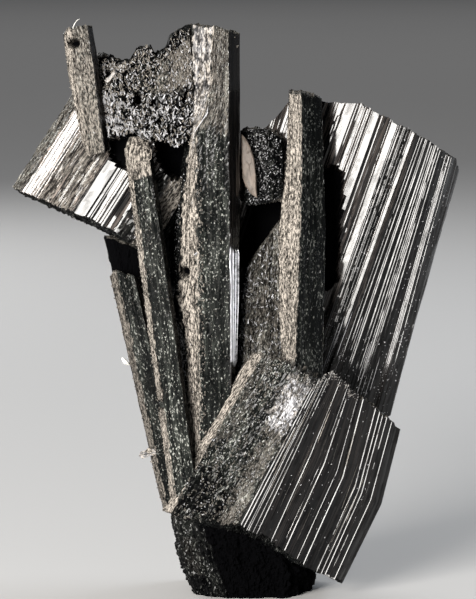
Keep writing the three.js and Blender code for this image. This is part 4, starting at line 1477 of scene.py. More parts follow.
@dataclass
class LongPrism(GrownCrystal):
    """The long prism that leans left across the front, with a roof-like tip."""

    name: str = "long_prism"
    edges: tuple[Edge, ...] = (
        ((-5.97, -2.7, 7.99), (-10.08, -2.7, 39.98)),
        ((-5.5, -3.8, 8.0), (-9.46, -3.9, 38.63)),
        ((-3.48, -4.6, 8.04), (-7.78, -3.9, 39.16)),
        ((-3.27, -3.2, 8.17), (-7.59, -2.6, 39.97)),
        ((-3.7, -0.8, 7.95), (-8.22, -0.5, 41.01)),
        ((-5.65, -0.8, 7.95), (-9.65, -0.5, 41.54)),
    )
    faces: tuple[FaceForm, ...] = (
        FaceForm(0.08, Ground.BEVEL, None, COARSE_FROST, border=0.16, pit_shade=0.8),
        FaceForm(
            0.08, Ground.FROSTED, Reeds(6.0, 0.1, dull=(0.0, 6.0), depth=0.03), FINE_FROST,
            Laths(4, height=0.035),
            (Patch((-1.0, 2.0), (0.957, 1.2), Ground.BEVEL, COARSE_FROST, 0.1, 0.95),),
        ),
        FaceForm(0.12, Ground.SHADED_DARK_ROCK, Reeds(dull=(0.0, 12.0), depth=0.06), FINE_FROST),
        SIDE_FACE,
        BACK_FACE,
        SIDE_FACE,
    )
    high_end: EndForm = EndForm(0.1, 0.35, (Grit((0.4, 0.4), 0.05), Grit((0.14, 0.14), 0.03)), Ground.BEVEL)
    row: float = 0.14
    wander: float = 0.07
    seed: int = 23
    hollows: tuple[Hollow, ...] = (Hollow((-7.0, -3.5, 17.2), (0.5, 1.4, 0.55), (0.35, 1.0, 0.0)),)
    shards: tuple[Shard, ...] = (
        Shard((-9.3, -3.85, 38.35), (-8.49, -3.98, 38.57), 0.1, Ground.BEVEL),
        Shard((-8.53, -3.98, 38.53), (-7.6, -3.85, 39.37), 0.1, Ground.BEVEL),
        Shard((-7.7, -3.6, 39.3), (-7.64, -2.95, 40.05), 0.1, Ground.BEVEL),
    )
    sprinkles: tuple[Sprinkle, ...] = (
        Sprinkle(0, (0.0, 1.0), (0.0, 0.97), 420, (0.1, 0.3), Ground.BEVEL, 2.2, 0.8),
        Sprinkle(1, (0.0, 1.0), (0.0, 1.0), 260, (0.08, 0.18), Ground.PALE_FROST, 2.6, 0.3),
    )


@dataclass
class LeaningPrism(GrownCrystal):
    """The short prism at the upper left, with a hole near its tip."""

    name: str = "leaning_prism"
    edges: tuple[Edge, ...] = (
        ((-13.76, -0.7, 40.03), (-14.5, -0.8, 43.43), (-15.15, -0.9, 46.55), (-15.52, -1.0, 50.02)),
        ((-13.17, -2.1, 39.41), (-13.85, -2.2, 43.41), (-14.5, -2.3, 46.61), (-14.87, -2.4, 50.59)),
        ((-11.83, -2.2, 39.77), (-12.34, -2.3, 43.51), (-12.72, -2.4, 46.7), (-13.36, -2.5, 50.94)),
        ((-11.39, -0.9, 39.96), (-11.9, -1.0, 43.53), (-12.29, -1.1, 46.74), (-12.93, -1.2, 50.74)),
        ((-11.78, 1.2, 40.01), (-12.29, 0.9, 43.53), (-12.71, 0.6, 46.68), (-13.31, 0.3, 50.7)),
        ((-13.49, 1.2, 39.83), (-14.18, 0.9, 43.44), (-14.77, 0.6, 46.59), (-15.19, 0.3, 50.35)),
    )
    faces: tuple[FaceForm, ...] = (
        BEVEL_FACE,
        FaceForm(
            0.08, Ground.PALE_FROST, Reeds(6.0, 0.1, dull=(0.0, 6.0), depth=0.03), FINE_FROST,
            Laths(3, height=0.03),
        ),
        SIDE_FACE,
        SIDE_FACE,
        BACK_FACE,
        SIDE_FACE,
    )
    high_end: EndForm = EndForm(0.3, 0.1)
    row: float = 0.13
    wander: float = 0.06
    seed: int = 31
    sprinkles: tuple[Sprinkle, ...] = (
        Sprinkle(0, (0.0, 1.0), (0.0, 1.0), 150, (0.1, 0.28), Ground.BEVEL, 2.2, 0.8),
        Sprinkle(1, (0.0, 1.0), (0.0, 1.0), 150, (0.08, 0.2), Ground.PALE_FROST, 2.6, 0.3),
    )
    hollows: tuple[Hollow, ...] = (
        Hollow((-14.62, -2.2, 49.42), (0.72, 1.5, 0.5), (0.25, 1.3, -0.1)),
    )


@dataclass
class OuterPrism(GrownCrystal):
    """The outermost prism at the lower left."""

    name: str = "outer_prism"
    edges: tuple[Edge, ...] = (
        ((-6.76, -1.4, 7.32), (-11.5, -0.4, 28.42)),
        ((-6.29, -2.6, 7.43), (-10.91, -1.7, 29.09)),
        ((-4.48, -3.0, 7.86), (-9.29, -1.9, 28.66)),
        ((-3.96, -1.6, 7.99), (-8.8, -0.6, 28.26)),
        ((-4.36, 0.9, 7.94), (-9.22, 1.4, 28.24)),
        ((-6.45, 0.9, 7.39), (-11.21, 1.5, 28.42)),
    )
    faces: tuple[FaceForm, ...] = (
        FaceForm(0.09, Ground.UMBER, None, COARSE_FROST, pit_shade=0.9),
        FaceForm(
            0.09, Ground.DUSKY, Reeds(5.0, 0.1, dull=(0.0, 6.0), depth=0.04), FINE_FROST,
            Laths(5, height=0.03),
        ),
        SIDE_FACE,
        SIDE_FACE,
        BACK_FACE,
        SIDE_FACE,
    )
    high_end: EndForm = EndForm(0.15, 0.1)
    row: float = 0.14
    wander: float = 0.07
    seed: int = 43
    shards: tuple[Shard, ...] = (
        Shard((-8.7, -2.1, 12.55), (-7.1, -2.3, 12.95), 0.62, Ground.CRUMBLY),
        Shard((-8.3, -2.2, 13.1), (-7.3, -2.3, 12.5), 0.5, Ground.BEVEL),
    )
    sprinkles: tuple[Sprinkle, ...] = (
        Sprinkle(0, (0.0, 1.0), (0.0, 1.0), 200, (0.1, 0.28), Ground.BEVEL, 2.2, 0.8),
        Sprinkle(1, (0.0, 1.0), (0.0, 1.0), 160, (0.08, 0.18), Ground.PALE_FROST, 2.6, 0.3),
    )


@dataclass
class RidgePrism(GrownCrystal):
    """The prism right of the middle, with a lit left face and a dark right one."""

    name: str = "ridge_prism"
    edges: tuple[Edge, ...] = (
        ((4.03, -2.4, 18.63), (3.66, -2.4, 26.56), (3.56, -2.4, 32.83),
         (4.09, -2.3, 36.83), (4.36, -2.2, 40.83), (4.53, -2.2, 45.1)),
        ((4.97, -4.8, 18.23), (5.32, -4.7, 26.8), (5.48, -4.6, 33.01),
         (5.56, -4.5, 36.99), (5.65, -4.4, 40.96), (5.55, -4.3, 45.01)),
        ((7.53, -2.2, 18.06), (7.69, -2.1, 26.52), (7.85, -2.0, 32.79),
         (7.66, -2.0, 36.81), (7.56, -1.9, 40.82), (7.46, -1.9, 44.46)),
        ((7.25, 1.4, 17.95), (7.41, 1.4, 26.16), (7.58, 1.4, 32.51),
         (7.48, 1.4, 36.57), (7.38, 1.4, 40.63), (7.28, 1.4, 44.41)),
        ((4.35, 1.4, 18.13), (4.16, 1.4, 26.16), (4.06, 1.4, 32.51),
         (4.41, 1.4, 36.57), (4.68, 1.4, 40.63), (4.85, 1.4, 44.76)),
    )
    faces: tuple[FaceForm, ...] = (
        FaceForm(0.08, Ground.BEVEL, None, COARSE_FROST, Laths(5, (0.15, 0.4), (3.0, 14.0), 0.08)),
        FaceForm(
            0.08, Ground.DUSKY, Reeds(5.0, 0.1, dull=(0.0, 8.0), depth=0.05), FINE_FROST,
            Laths(5, height=0.04),
        ),
        SIDE_FACE,
        BACK_FACE,
        SIDE_FACE,
    )
    high_end: EndForm = EndForm(0.2, 0.25)
    row: float = 0.14
    wander: float = 0.1
    seed: int = 53
    sprinkles: tuple[Sprinkle, ...] = (
        Sprinkle(0, (0.0, 1.0), (0.0, 1.0), 420, (0.1, 0.32), Ground.BEVEL, 2.2, 0.8),
        Sprinkle(1, (0.0, 1.0), (0.0, 0.5), 160, (0.08, 0.2), Ground.FROSTED, 2.6, 0.3),
    )


RUST = ((-0.3, 1.3), Ground.RUSTY, COMBED, 0.8, 0.8)


@dataclass
class LeftBlock(GrownCrystal):
    """The broad striated block at the upper left, behind the prisms."""

    name: str = "left_block"
    edges: tuple[Edge, ...] = (
        ((-20.37, 2.8, 36.29), (-12.62, 2.8, 48.31)),
        ((-19.44, 1.0, 36.11), (-11.74, 1.0, 48.09)),
        ((-16.89, 0.3, 35.03), (-9.39, 0.3, 46.78)),
        ((-14.79, -0.3, 34.31), (-7.41, -0.3, 45.73)),
        ((-12.99, -0.7, 33.67), (-5.71, -0.7, 44.94)),
        ((-9.48, -1.2, 31.56), (-2.41, -1.2, 42.92)),
        ((-7.88, -1.0, 30.82), (-1.07, -1.0, 41.84)),
        ((-7.23, 1.6, 30.13), (-0.54, 1.6, 41.16)),
        ((-7.89, 6.3, 30.07), (-1.1, 6.3, 41.27)),
        ((-11.64, 8.6, 31.71), (-4.42, 8.6, 43.53)),
        ((-18.08, 8.4, 34.69), (-10.29, 8.4, 47.03)),
        ((-20.4, 6.0, 35.88), (-12.57, 6.0, 48.12)),
    )
    faces: tuple[FaceForm, ...] = (
        FaceForm(0.1, Ground.GRANULAR, Reeds(47.0, 0.2, dull=(0.0, 14.0), depth=0.06), SPARKLE),
        FaceForm(
            0.16, Ground.SATIN, Reeds(-2.0, 0.1, (0.03, 0.08), 2.5, (9.0, 24.0), (0.05, 0.18), 0.06, bands=(
                (0.05, 0.08, -2.0), (0.11, 0.22, -2.0), (0.24, 0.33, -2.0), (0.35, 0.41, -2.0),
                (0.45, 0.49, -1.0), (0.55, 0.57, -1.0), (0.68, 0.7, -1.0),
            )), HAIRLINES, patches=(Patch((0.5, 1.4), *RUST),), pit_shade=0.9,
        ),
        FaceForm(
            0.16, Ground.SATIN, Reeds(-1.0, 0.1, (0.03, 0.08), 2.5, (9.0, 24.0), (0.04, 0.16), 0.05),
            HAIRLINES, patches=(Patch((-0.4, 1.1), *RUST),), pit_shade=0.9,
        ),
        striated(Ground.MIRROR, Reeds(
            -5.0, 0.25, (0.03, 0.08), 2.5, (9.0, 26.0), (0.05, 0.16), 0.08,
            bands=((0.0, 0.08, 14.0), (0.08, 0.6, -4.0), (0.7, 0.8, -4.0), (0.86, 0.9, -6.0)),
        ), Laths(3, height=0.04)),
        FaceForm(
            0.2, Ground.VEILED, Reeds(
                -10.0, 0.1, (0.03, 0.06), 2.5, (2.0, 22.0), (0.05, 0.22), 0.09, bands=((0.5, 0.56, -10.0),)
            ), HAIRLINES, Laths(12), (Patch((0.6, 1.4), (-0.2, 1.2), Ground.SHADED_DARK_ROCK, SPARKLE, 0.6, 0.9),),
        ),
        FaceForm(
            0.1, Ground.UMBER, Reeds(-23.0, 0.1, depth=0.08), SPARKLE, Laths(8, (0.1, 0.3), (1.0, 4.0)),
            pit_shade=0.8,
        ),
        FaceForm(0.14, Ground.SHADED_DARK_ROCK, Reeds(), SPARKLE),
        SIDE_FACE,
        BACK_FACE,
        BACK_FACE,
        BACK_FACE,
        ROUGH_FACE,
    )
    low_end: EndForm = EndForm(0.16, 0.1, ground=Ground.SHADED_DARK_ROCK)
    high_end: EndForm = EndForm(0.3, 0.3)
    row: float = 0.28
    seed: int = 61
    hollows: tuple[Hollow | Shadow, ...] = (CROWN_SHADOW, TIP_SHADOW)


@dataclass
class ShadedNeck(GrownCrystal):
    """The piece under the left block, painted black with deep shade."""

    name: str = "shaded_neck"
    edges: tuple[Edge, ...] = (
        ((-10.83, 0.8, 26.94), (-12.0, 1.4, 31.96)),
        ((-10.26, 0.0, 26.85), (-11.33, 0.4, 31.69)),
        ((-8.28, 0.0, 27.03), (-8.81, 0.2, 30.8)),
        ((-6.79, 1.8, 27.02), (-6.69, 2.0, 31.73)),
        ((-6.4, 4.8, 26.9), (-6.4, 5.2, 31.64)),
        ((-10.79, 4.8, 26.72), (-11.99, 5.6, 31.42)),
    )
    faces: tuple[FaceForm, ...] = (
        *(FaceForm(0.16, Ground.DEEP_SHADE, Reeds(), SPARKLE),) * 2,
        FaceForm(0.16, Ground.DEEP_SHADE, Reeds(), SPARKLE, patches=(
            Patch((0.5, 1.4), (0.75, 1.3), Ground.UMBER, SPARKLE, 1.0, 0.9),
        )),
        FaceForm(0.3, Ground.DEEP_SHADE, Reeds(), SPARKLE),
        BACK_FACE,
        FaceForm(0.3, Ground.DEEP_SHADE, Reeds(), SPARKLE),
    )
    row: float = 0.25
    seed: int = 67
    hollows: tuple[Hollow | Shadow, ...] = (Hollow((-6.2, 3.0, 31.2), (1.4, 4.0, 3.4), (0.3, 0.0, 0.0)),)


# Painted shade: the foot of the reeded block, darker towards the bottom where the light falls off.
SHADED_FOOT = (
    Patch((-2.0, 3.0), (-1.0, 0.62), Ground.SHADED_DARK_ROCK, HAIRLINES, 9.0, 0.45),
    Patch((-2.0, 3.0), (-1.0, 0.2), Ground.SHADED_DARK_ROCK, HAIRLINES, 6.0, 0.6),
)


@dataclass
class ReededBlock(GrownCrystal):
    """The broad striated block at the right, behind the prisms."""

    name: str = "reeded_block"
    edges: tuple[Edge, ...] = (
        ((-4.37, 3.0, 20.95), (2.17, 3.0, 41.35)),
        ((-2.81, 1.7, 20.47), (4.59, 1.7, 44.03)),
        ((-0.9, 0.9, 19.75), (7.63, 0.9, 44.16)),
        ((0.36, 0.4, 18.99), (9.4, 0.4, 43.91)),
        ((1.63, 0.2, 17.93), (11.1, 0.2, 43.92)),
        ((4.25, 0.6, 16.69), (13.27, 0.6, 42.69)),
        ((7.27, 1.7, 15.62), (16.21, 1.7, 40.97)),
        ((11.34, 3.6, 14.52), (18.59, 3.6, 39.51)),
        ((13.98, 5.4, 15.01), (19.84, 5.4, 38.58)),
        ((13.89, 7.6, 15.07), (20.31, 7.6, 37.33)),
        ((11.37, 9.6, 15.17), (18.69, 9.8, 38.67)),
        ((4.85, 10.2, 16.59), (12.22, 10.4, 41.97)),
        ((-2.79, 8.8, 19.59), (4.79, 9.0, 43.15)),
    )
    faces: tuple[FaceForm, ...] = (
        FaceForm(0.2, Ground.VEILED, Reeds(24.0, 0.6, (0.05, 0.16), depth=0.08), HAIRLINES, Laths(6)),
        striated(Ground.VEILED, Reeds(
            2.5, 0.85, (0.08, 0.26), 2.5, (9.0, 26.0), (0.03, 0.1), 0.1, bands=((0.25, 0.68, 2.0),)
        ), patches=SHADED_FOOT),
        striated(Ground.VEILED, Reeds(
            1.5, 0.85, (0.06, 0.2), 2.5, (9.0, 26.0), (0.04, 0.12), 0.1, bands=((0.3, 0.6, 1.0),)
        ), patches=SHADED_FOOT),
        striated(Ground.VEILED, Reeds(
            -9.0, 0.7, (0.05, 0.16), 2.5, (3.0, 20.0), (0.05, 0.16), 0.1, bands=((0.2, 0.65, -9.0),)
        ), patches=SHADED_FOOT),
        striated(Ground.VEILED, Reeds(
            -25.0, 0.65, (0.04, 0.12), 2.5, (0.0, 12.0), (0.05, 0.16),
            bands=((0.02, 0.12, -24.5), (0.5, 0.7, -25.0)),
        ), Laths(3, height=0.04), SHADED_FOOT),
        striated(Ground.VEILED, Reeds(
            -35.0, 0.5, (0.03, 0.1), 3.0, (0.0, 12.0), (0.06, 0.2), 0.14,
            bands=((0.22, 0.34, -35.0), (0.8, 0.86, -35.0)),
        ), Laths(3, height=0.04), (
            Patch((0.45, 0.75), (-0.2, 1.2), Ground.SHADED_DARK_ROCK, SPECKS, 0.6, 0.8), *SHADED_FOOT,
        )),
        striated(
            Ground.MIRROR, Reeds(-45.0, 0.45, (0.03, 0.08), 4.0, (0.0, 12.0), (0.06, 0.24), 0.15),
            patches=SHADED_FOOT,
        ),
        striated(Ground.MIRROR, Reeds(-59.0, 0.2, (0.02, 0.04), 4.0, (0.0, 14.0), (0.08, 0.3), 0.14)),
        SIDE_FACE,
        SIDE_FACE,
        BACK_FACE,
        BACK_FACE,
        BACK_FACE,
    )
    low_end: EndForm = EndForm(0.2, 0.1)
    high_end: EndForm = EndForm(0.18, 0.25)
    row: float = 0.28
    seed: int = 73
    hollows: tuple[Hollow | Shadow, ...] = (MIDDLE_SHADOW, RIDGE_SHADOW)
    sprinkles: tuple[Sprinkle, ...] = (
        *strewn(range(4, 8), (0.0, 1.0), (0.0, 0.3), 90, (0.08, 0.2), Ground.SNOWY, 2.0, 0.8, 0.1),
        Sprinkle(5, (0.4, 0.8), (0.3, 1.0), 110, (0.08, 0.18), Ground.SNOWY, 2.0, 0.8, 0.1),
        # Long white splinters: painted highlights of reed lines in the shaded foot.
        *strewn(range(3, 7), (0.0, 1.0), (0.1, 0.32), 9, (3.0, 6.0), Ground.SNOWY, 70.0, 0.0, 0.3, 0.0),
        Sprinkle(7, (0.0, 1.0), (0.3, 1.0), 160, (0.08, 0.2), Ground.SNOWY, 2.0, 0.8, 0.1),
    )


@dataclass
class FrontBlock(GrownCrystal):
    """The striated block at the foot, with a grey granular left side."""

    name: str = "front_block"
    edges: tuple[Edge, ...] = (
        ((-6.74, -2.2, 7.73), (-2.87, -2.7, 15.33), (1.16, -3.0, 21.77)),
        ((-5.99, -4.2, 7.7), (-1.87, -4.4, 15.04), (2.22, -4.4, 21.94)),
        ((-3.1, -6.8, 7.43), (0.8, -6.65, 14.74), (4.41, -6.3, 21.28)),
        ((0.0, -9.0, 7.45), (3.6, -8.45, 14.21), (6.68, -7.8, 19.88)),
        ((2.11, -8.7, 6.42), (5.54, -8.1, 13.89), (8.54, -7.3, 20.61)),
        ((5.49, -7.3, 3.75), (9.02, -6.8, 11.55), (10.78, -6.2, 18.33)),
        ((8.19, -5.8, 2.03), (11.39, -5.2, 9.13), (13.33, -4.8, 16.26)),
        ((9.39, -4.4, 1.4), (12.78, -3.9, 8.28), (14.47, -3.5, 15.0)),
        ((9.79, -0.4, 1.37), (13.05, 0.1, 8.35), (14.58, 0.6, 14.31)),
        ((7.34, 3.4, 1.58), (10.46, 4.0, 9.09), (13.01, 4.2, 15.55)),
        ((0.18, 4.6, 4.71), (4.78, 5.0, 11.91), (8.45, 5.2, 17.82)),
        ((-5.12, 2.6, 6.55), (-1.46, 3.0, 14.05), (2.19, 3.0, 20.31)),
    )
    faces: tuple[FaceForm, ...] = (
        FaceForm(0.1, Ground.BEVEL, Reeds(48.0, 0.2, depth=0.05), SPARKLE),
        FaceForm(0.1, Ground.FROSTED, Reeds(26.0, 0.2, dull=(0.0, 10.0), depth=0.06), SPARKLE, patches=(
            Patch((0.0, 1.0), (0.0, 0.3), Ground.SHADED_DARK_ROCK, RUBBLE, 1.4),
            Patch((0.0, 0.5), (0.5, 1.2), Ground.GRANULAR, SPARKLE, 1.2, 0.4),
        ), pit_shade=0.85),
        FaceForm(
            0.1, Ground.FROSTED, Reeds(18.0, 0.35, (0.05, 0.12), 3.0, (0.0, 12.0), depth=0.08), SPARKLE,
            pit_shade=0.75, patches=(
                Patch((0.0, 0.5), (0.0, 0.25), Ground.SHADED_DARK_ROCK, RUBBLE, 1.4),
                Patch((0.45, 1.0), (-0.2, 0.6), Ground.PALE_FROST, SPARKLE, 1.0, 0.5),
                Patch((0.3, 1.0), (0.62, 0.95), Ground.CRUMBLY, RUBBLE, 1.0, 0.9),
                Patch((0.45, 0.95), (0.64, 0.84), Ground.SNOWY, SPARKLE, 0.7, 1.0),
            ),
        ),
        striated(Ground.MIRROR, Reeds(-26.0, 0.55, (0.03, 0.08), 3.0, (0.0, 12.0), (0.08, 0.24), 0.1)),
        striated(
            Ground.MIRROR, Reeds(-36.0, 0.42, (0.03, 0.06), 3.0, (0.0, 12.0), (0.1, 0.32), 0.13), Laths(4)
        ),
        striated(
            Ground.MIRROR, Reeds(-43.5, 0.3, (0.03, 0.07), 3.0, (0.0, 12.0), (0.12, 0.5), 0.13), Laths(4)
        ),
        striated(Ground.MIRROR, Reeds(-58.0, 0.3, (0.03, 0.05), 3.0, (0.0, 12.0), (0.1, 0.4), 0.12)),
        SIDE_FACE,
        SIDE_FACE,
        BACK_FACE,
        BACK_FACE,
        BACK_FACE,
    )
    low_end: EndForm = EndForm(0.25, 0.15, ground=Ground.SHADED_DARK_ROCK)
    high_end: EndForm = EndForm(0.3, 0.25, RUBBLE)
    row: float = 0.24
    seed: int = 83
    sprinkles: tuple[Sprinkle, ...] = (
        Sprinkle(1, (0.0, 1.0), (0.0, 1.0), 500, (0.1, 0.34), Ground.PALE_FROST, 2.0, 0.6),
        Sprinkle(2, (0.0, 1.0), (0.0, 1.0), 500, (0.1, 0.34), Ground.PALE_FROST, 2.0, 0.6),
        Sprinkle(2, (0.3, 1.0), (0.62, 0.95), 220, (0.2, 0.45), Ground.SNOWY, 2.4, 0.5, 0.2),
        Sprinkle(1, (0.0, 1.0), (0.05, 1.0), 260, (0.08, 0.18), Ground.SNOWY, 2.0, 0.6),
        Sprinkle(2, (0.0, 1.0), (0.05, 0.9), 170, (0.08, 0.18), Ground.SNOWY, 2.0, 0.6),
        *strewn(range(3, 6), (0.0, 1.0), (0.0, 1.0), 90, (0.06, 0.16), Ground.SNOWY, 2.5, 0.9, 0.1),
        # Long pale splinters: painted highlights of reed lines.
        *strewn(range(3, 6), (0.1, 0.9), (0.2, 0.8), 12, (2.0, 5.0), Ground.BEVEL, 80.0, 0.0, 0.2, 0.0),
        Sprinkle(3, (0.0, 1.0), (0.95, 1.0), 70, (0.12, 0.25), Ground.CRUMBLY, 1.8, 0.9, 0.0),
        Sprinkle(4, (0.0, 1.0), (0.98, 1.0), 70, (0.1, 0.22), Ground.CRUMBLY, 1.8, 0.9, 0.0),
    )


@dataclass
class RecessedPrism(GrownCrystal):
    """The rough prism deep between the tall and the ridge prism."""

    name: str = "recessed_prism"
    edges: tuple[Edge, ...] = (
        ((-0.09, 0.4, 19.17), (0.45, 0.5, 26.25), (0.81, 0.9, 29.11)),
        ((0.36, -0.9, 19.16), (0.9, -0.6, 26.37), (1.26, -0.1, 29.57)),
        ((4.14, -1.0, 19.17), (4.13, -0.6, 26.37), (4.13, 0.1, 33.88)),
        ((4.37, 3.0, 18.84), (4.36, 3.0, 25.99), (4.35, 3.0, 33.92)),
        ((0.0, 3.0, 19.02), (0.45, 3.0, 25.99), (0.82, 3.0, 29.18)),
    )
    faces: tuple[FaceForm, ...] = (
        ROUGH_FACE,
        FaceForm(0.1, Ground.GRANULAR, None, RUBBLE, Laths(6, (0.15, 0.5), (2.0, 8.0), 0.1)),
        SIDE_FACE,
        BACK_FACE,
        SIDE_FACE,
    )
    row: float = 0.14
    seed: int = 89
    sprinkles: tuple[Sprinkle, ...] = (
        Sprinkle(0, (0.0, 1.0), (0.0, 1.0), 160, (0.12, 0.4), Ground.SNOWY, 3.4, 0.6, 0.1),
        Sprinkle(1, (0.0, 1.0), (0.0, 1.0), 420, (0.12, 0.4), Ground.SNOWY, 3.4, 0.6, 0.1),
    )


@dataclass
class DarkBlock(GrownCrystal):
    """The dark granular block beside the pale leaf."""

    name: str = "dark_block"
    edges: tuple[Edge, ...] = (
        ((0.18, -0.1, 35.42), (0.27, 0.0, 41.43)),
        ((0.81, -0.8, 35.11), (0.89, -0.7, 41.55)),
        ((2.86, -0.9, 35.3), (2.68, -0.8, 41.65)),
        ((4.13, -0.1, 35.69), (3.85, 0.0, 40.89)),
        ((4.45, 3.4, 35.52), (4.26, 3.4, 40.88)),
        ((0.18, 3.4, 35.25), (0.27, 3.4, 41.33)),
    )
    faces: tuple[FaceForm, ...] = (*(FaceForm(0.1, Ground.SHADED_DARK_ROCK, None, SPARKLE),) * 4, BACK_FACE, SIDE_FACE)
    low_end: EndForm = EndForm(0.2, 0.2, RUBBLE)
    high_end: EndForm = EndForm(0.2, 0.25, RUBBLE)
    row: float = 0.1
    seed: int = 97
    sprinkles: tuple[Sprinkle, ...] = (
        Sprinkle(1, (0.0, 1.0), (0.0, 1.0), 300, (0.08, 0.17), Ground.SNOWY, 2.0, 0.8, 0.1),
        Sprinkle(2, (0.0, 1.0), (0.0, 1.0), 120, (0.08, 0.17), Ground.SNOWY, 2.0, 0.8, 0.1),
    )


@dataclass
class BrokenCrown(GrownCrystal):
    """The coarse broken mass between the leaning and the tall prism."""

    name: str = "broken_crown"
    edges: tuple[Edge, ...] = (
        ((-11.79, -0.6, 42.17), (-12.32, -0.5, 45.02), (-12.52, 0.4, 47.94)),
        ((-11.05, -1.5, 41.06), (-11.3, -1.6, 44.54), (-11.24, -0.4, 48.14)),
        ((-9.6, -2.1, 41.18), (-9.76, -2.4, 44.57), (-9.71, -0.8, 48.24)),
        ((-7.82, -2.2, 40.75), (-7.98, -2.6, 44.58), (-8.01, -0.8, 48.86)),
        ((-5.86, -2.4, 40.31), (-6.03, -2.7, 44.76), (-6.23, -0.8, 49.66)),
        ((-3.91, -2.2, 41.55), (-3.99, -2.4, 45.81), (-4.27, -0.8, 50.99)),
        ((-3.43, 2.8, 42.0), (-3.79, 2.8, 45.61), (-4.05, 2.2, 50.57)),
        ((-6.04, 6.4, 41.26), (-6.57, 6.2, 44.74), (-7.06, 4.0, 48.27)),
        ((-10.78, 6.2, 41.09), (-11.49, 6.0, 44.75), (-11.4, 3.8, 47.37)),
    )
    faces: tuple[FaceForm, ...] = (
        CRAG_FACE,
        CRAG_FACE,
        CRAG_FACE,
        FaceForm(0.1, Ground.CRAG, None, CRAGS, patches=(
            Patch((0.35, 1.2), (0.5, 0.8), Ground.GRANULAR, SPARKLE, 1.0, 0.9),
        )),
        FaceForm(0.1, Ground.CRAG, None, CRAGS, patches=(
            Patch((-0.2, 1.2), (0.45, 0.84), Ground.PALE_FROST, SPARKLE, 1.0, 0.8),
        )),
        RUBBLE_FACE,
        BACK_FACE,
        BACK_FACE,
        CRAG_FACE,
    )
    low_end: EndForm = EndForm(0.5, 0.2, RUBBLE, Ground.DEEP_SHADE)
    high_end: EndForm = EndForm(0.4, 0.0, (Grit((0.9, 0.9), 0.12), Grit((0.3, 0.3), 0.08)), Ground.CRAG)
    row: float = 0.1
    seed: int = 101
    sprinkles: tuple[Sprinkle, ...] = (
        *strewn(range(5), (0.0, 1.0), (0.0, 0.5), 170, (0.24, 0.55), Ground.SNOWY, 3.6, 0.4, 0.3),
        *strewn(range(5), (0.0, 1.0), (0.0, 1.0), 420, (0.12, 0.34), Ground.BEVEL, 2.6, 0.7, 0.45),
        *strewn(range(5), (0.0, 1.0), (0.5, 1.0), 110, (0.12, 0.3), Ground.SNOWY, 2.6, 0.6, 0.4),
    )
    hollows: tuple[Hollow | Shadow, ...] = (
        Hollow((-8.88, -2.3, 44.3), (0.5, 1.8, 0.7), (0.0, 1.3, 0.0)),
        Hollow((-7.46, -2.3, 44.12), (0.4, 1.8, 0.45), (0.0, 1.0, 0.0)),
        Hollow((-4.79, -2.2, 44.48), (0.22, 1.6, 0.6), (0.0, 1.0, 0.0)),
        Hollow((-7.1, -2.4, 42.45), (0.5, 1.6, 0.25), (0.0, 0.9, 0.0)),
        Hollow((-5.15, -2.3, 42.26), (0.55, 1.6, 0.3), (0.0, 0.9, 0.0)),
        Hollow((-6.04, -2.4, 41.56), (0.5, 1.6, 0.25), (0.0, 0.9, 0.0)),
        Hollow((-8.08, -2.3, 41.91), (0.4, 1.6, 0.3), (0.0, 0.8, 0.0)),
        Hollow((-11.6, -1.2, 46.6), (0.3, 1.4, 0.55), (0.0, 0.8, 0.0)),
        Hollow((-10.25, 1.0, 48.4), (1.2, 9.0, 1.6), (0.0, 0.0, -0.75), 0.0),
        Hollow((-6.95, 1.0, 49.6), (0.95, 9.0, 1.9), (0.0, 0.0, -1.05), 0.0),
    )
    shards: tuple[Shard, ...] = (Shard((-11.55, -1.45, 46.1), (-10.2, -0.95, 47.6), 0.42, Ground.CRUMBLY),)


@dataclass
class RootMass(GrownCrystal):
    """The broken root that everything stands on, cut flat below."""

    name: str = "root_mass"
    edges: tuple[Edge, ...] = (
        ((-3.4, -3.3, -1.2), (-4.86, -2.4, 3.02), (-5.77, -1.5, 6.88)),
        ((-0.4, -4.7, -1.2), (-2.14, -4.9, 3.3), (-3.39, -4.5, 7.21)),
        ((4.1, -4.4, -1.2), (4.46, -5.4, 3.03), (2.66, -6.4, 5.74)),
        ((6.1, -1.5, -1.2), (7.04, -1.6, 1.96), (7.55, -3.0, 2.4)),
        ((5.6, 4.3, -1.2), (6.81, 4.2, 1.8), (7.33, 3.0, 2.77)),
        ((2.0, 6.1, -1.2), (2.22, 6.2, 1.43), (2.21, 5.2, 5.36)),
        ((-2.4, 4.6, -1.2), (-3.59, 4.6, 1.73), (-4.4, 3.2, 6.63)),
        ((-3.8, 0.6, -1.2), (-5.19, 0.8, 2.43), (-5.99, 0.5, 6.9)),
    )
    faces: tuple[FaceForm, ...] = (
        FaceForm(0.1, Ground.SHADED_DARK_ROCK, Reeds(20.0, 0.3, dull=(0.0, 16.0), depth=0.08), RUBBLE, Laths(10), (
            Patch((-0.2, 0.7), (0.3, 1.2), Ground.DUSKY, SPARKLE, 1.2, 0.3),
            Patch((0.1, 0.5), (0.35, 0.75), Ground.PALE_FROST, SPARKLE, 1.2, 0.15),
        )),
        FaceForm(0.12, Ground.DEEP_SHADE, Reeds(20.0, 0.3, dull=(0.0, 16.0), depth=0.1), RUBBLE, Laths(10)),
        FaceForm(0.16, Ground.DEEP_SHADE, Reeds(20.0, 0.3, dull=(0.0, 16.0), depth=0.1), RUBBLE),
        *(FaceForm(column, Ground.SHADED_DARK_ROCK, Reeds(), RUBBLE) for column in (0.2, 0.25, 0.25, 0.25, 0.2)),
    )
    low_end: EndForm = EndForm(0.0, 0.0, (), Ground.SHADED_DARK_ROCK, 0.6)
    row: float = 0.14
    seed: int = 103
    floor: float = 0.0

    def shell(self) -> Shell:
        """The root, with its foot cut flat.

        Returns:
            The closed root.
        """
        shell = super().shell()
        shell.points[:, 2] = np.maximum(shell.points[:, 2], self.floor)
        return shell


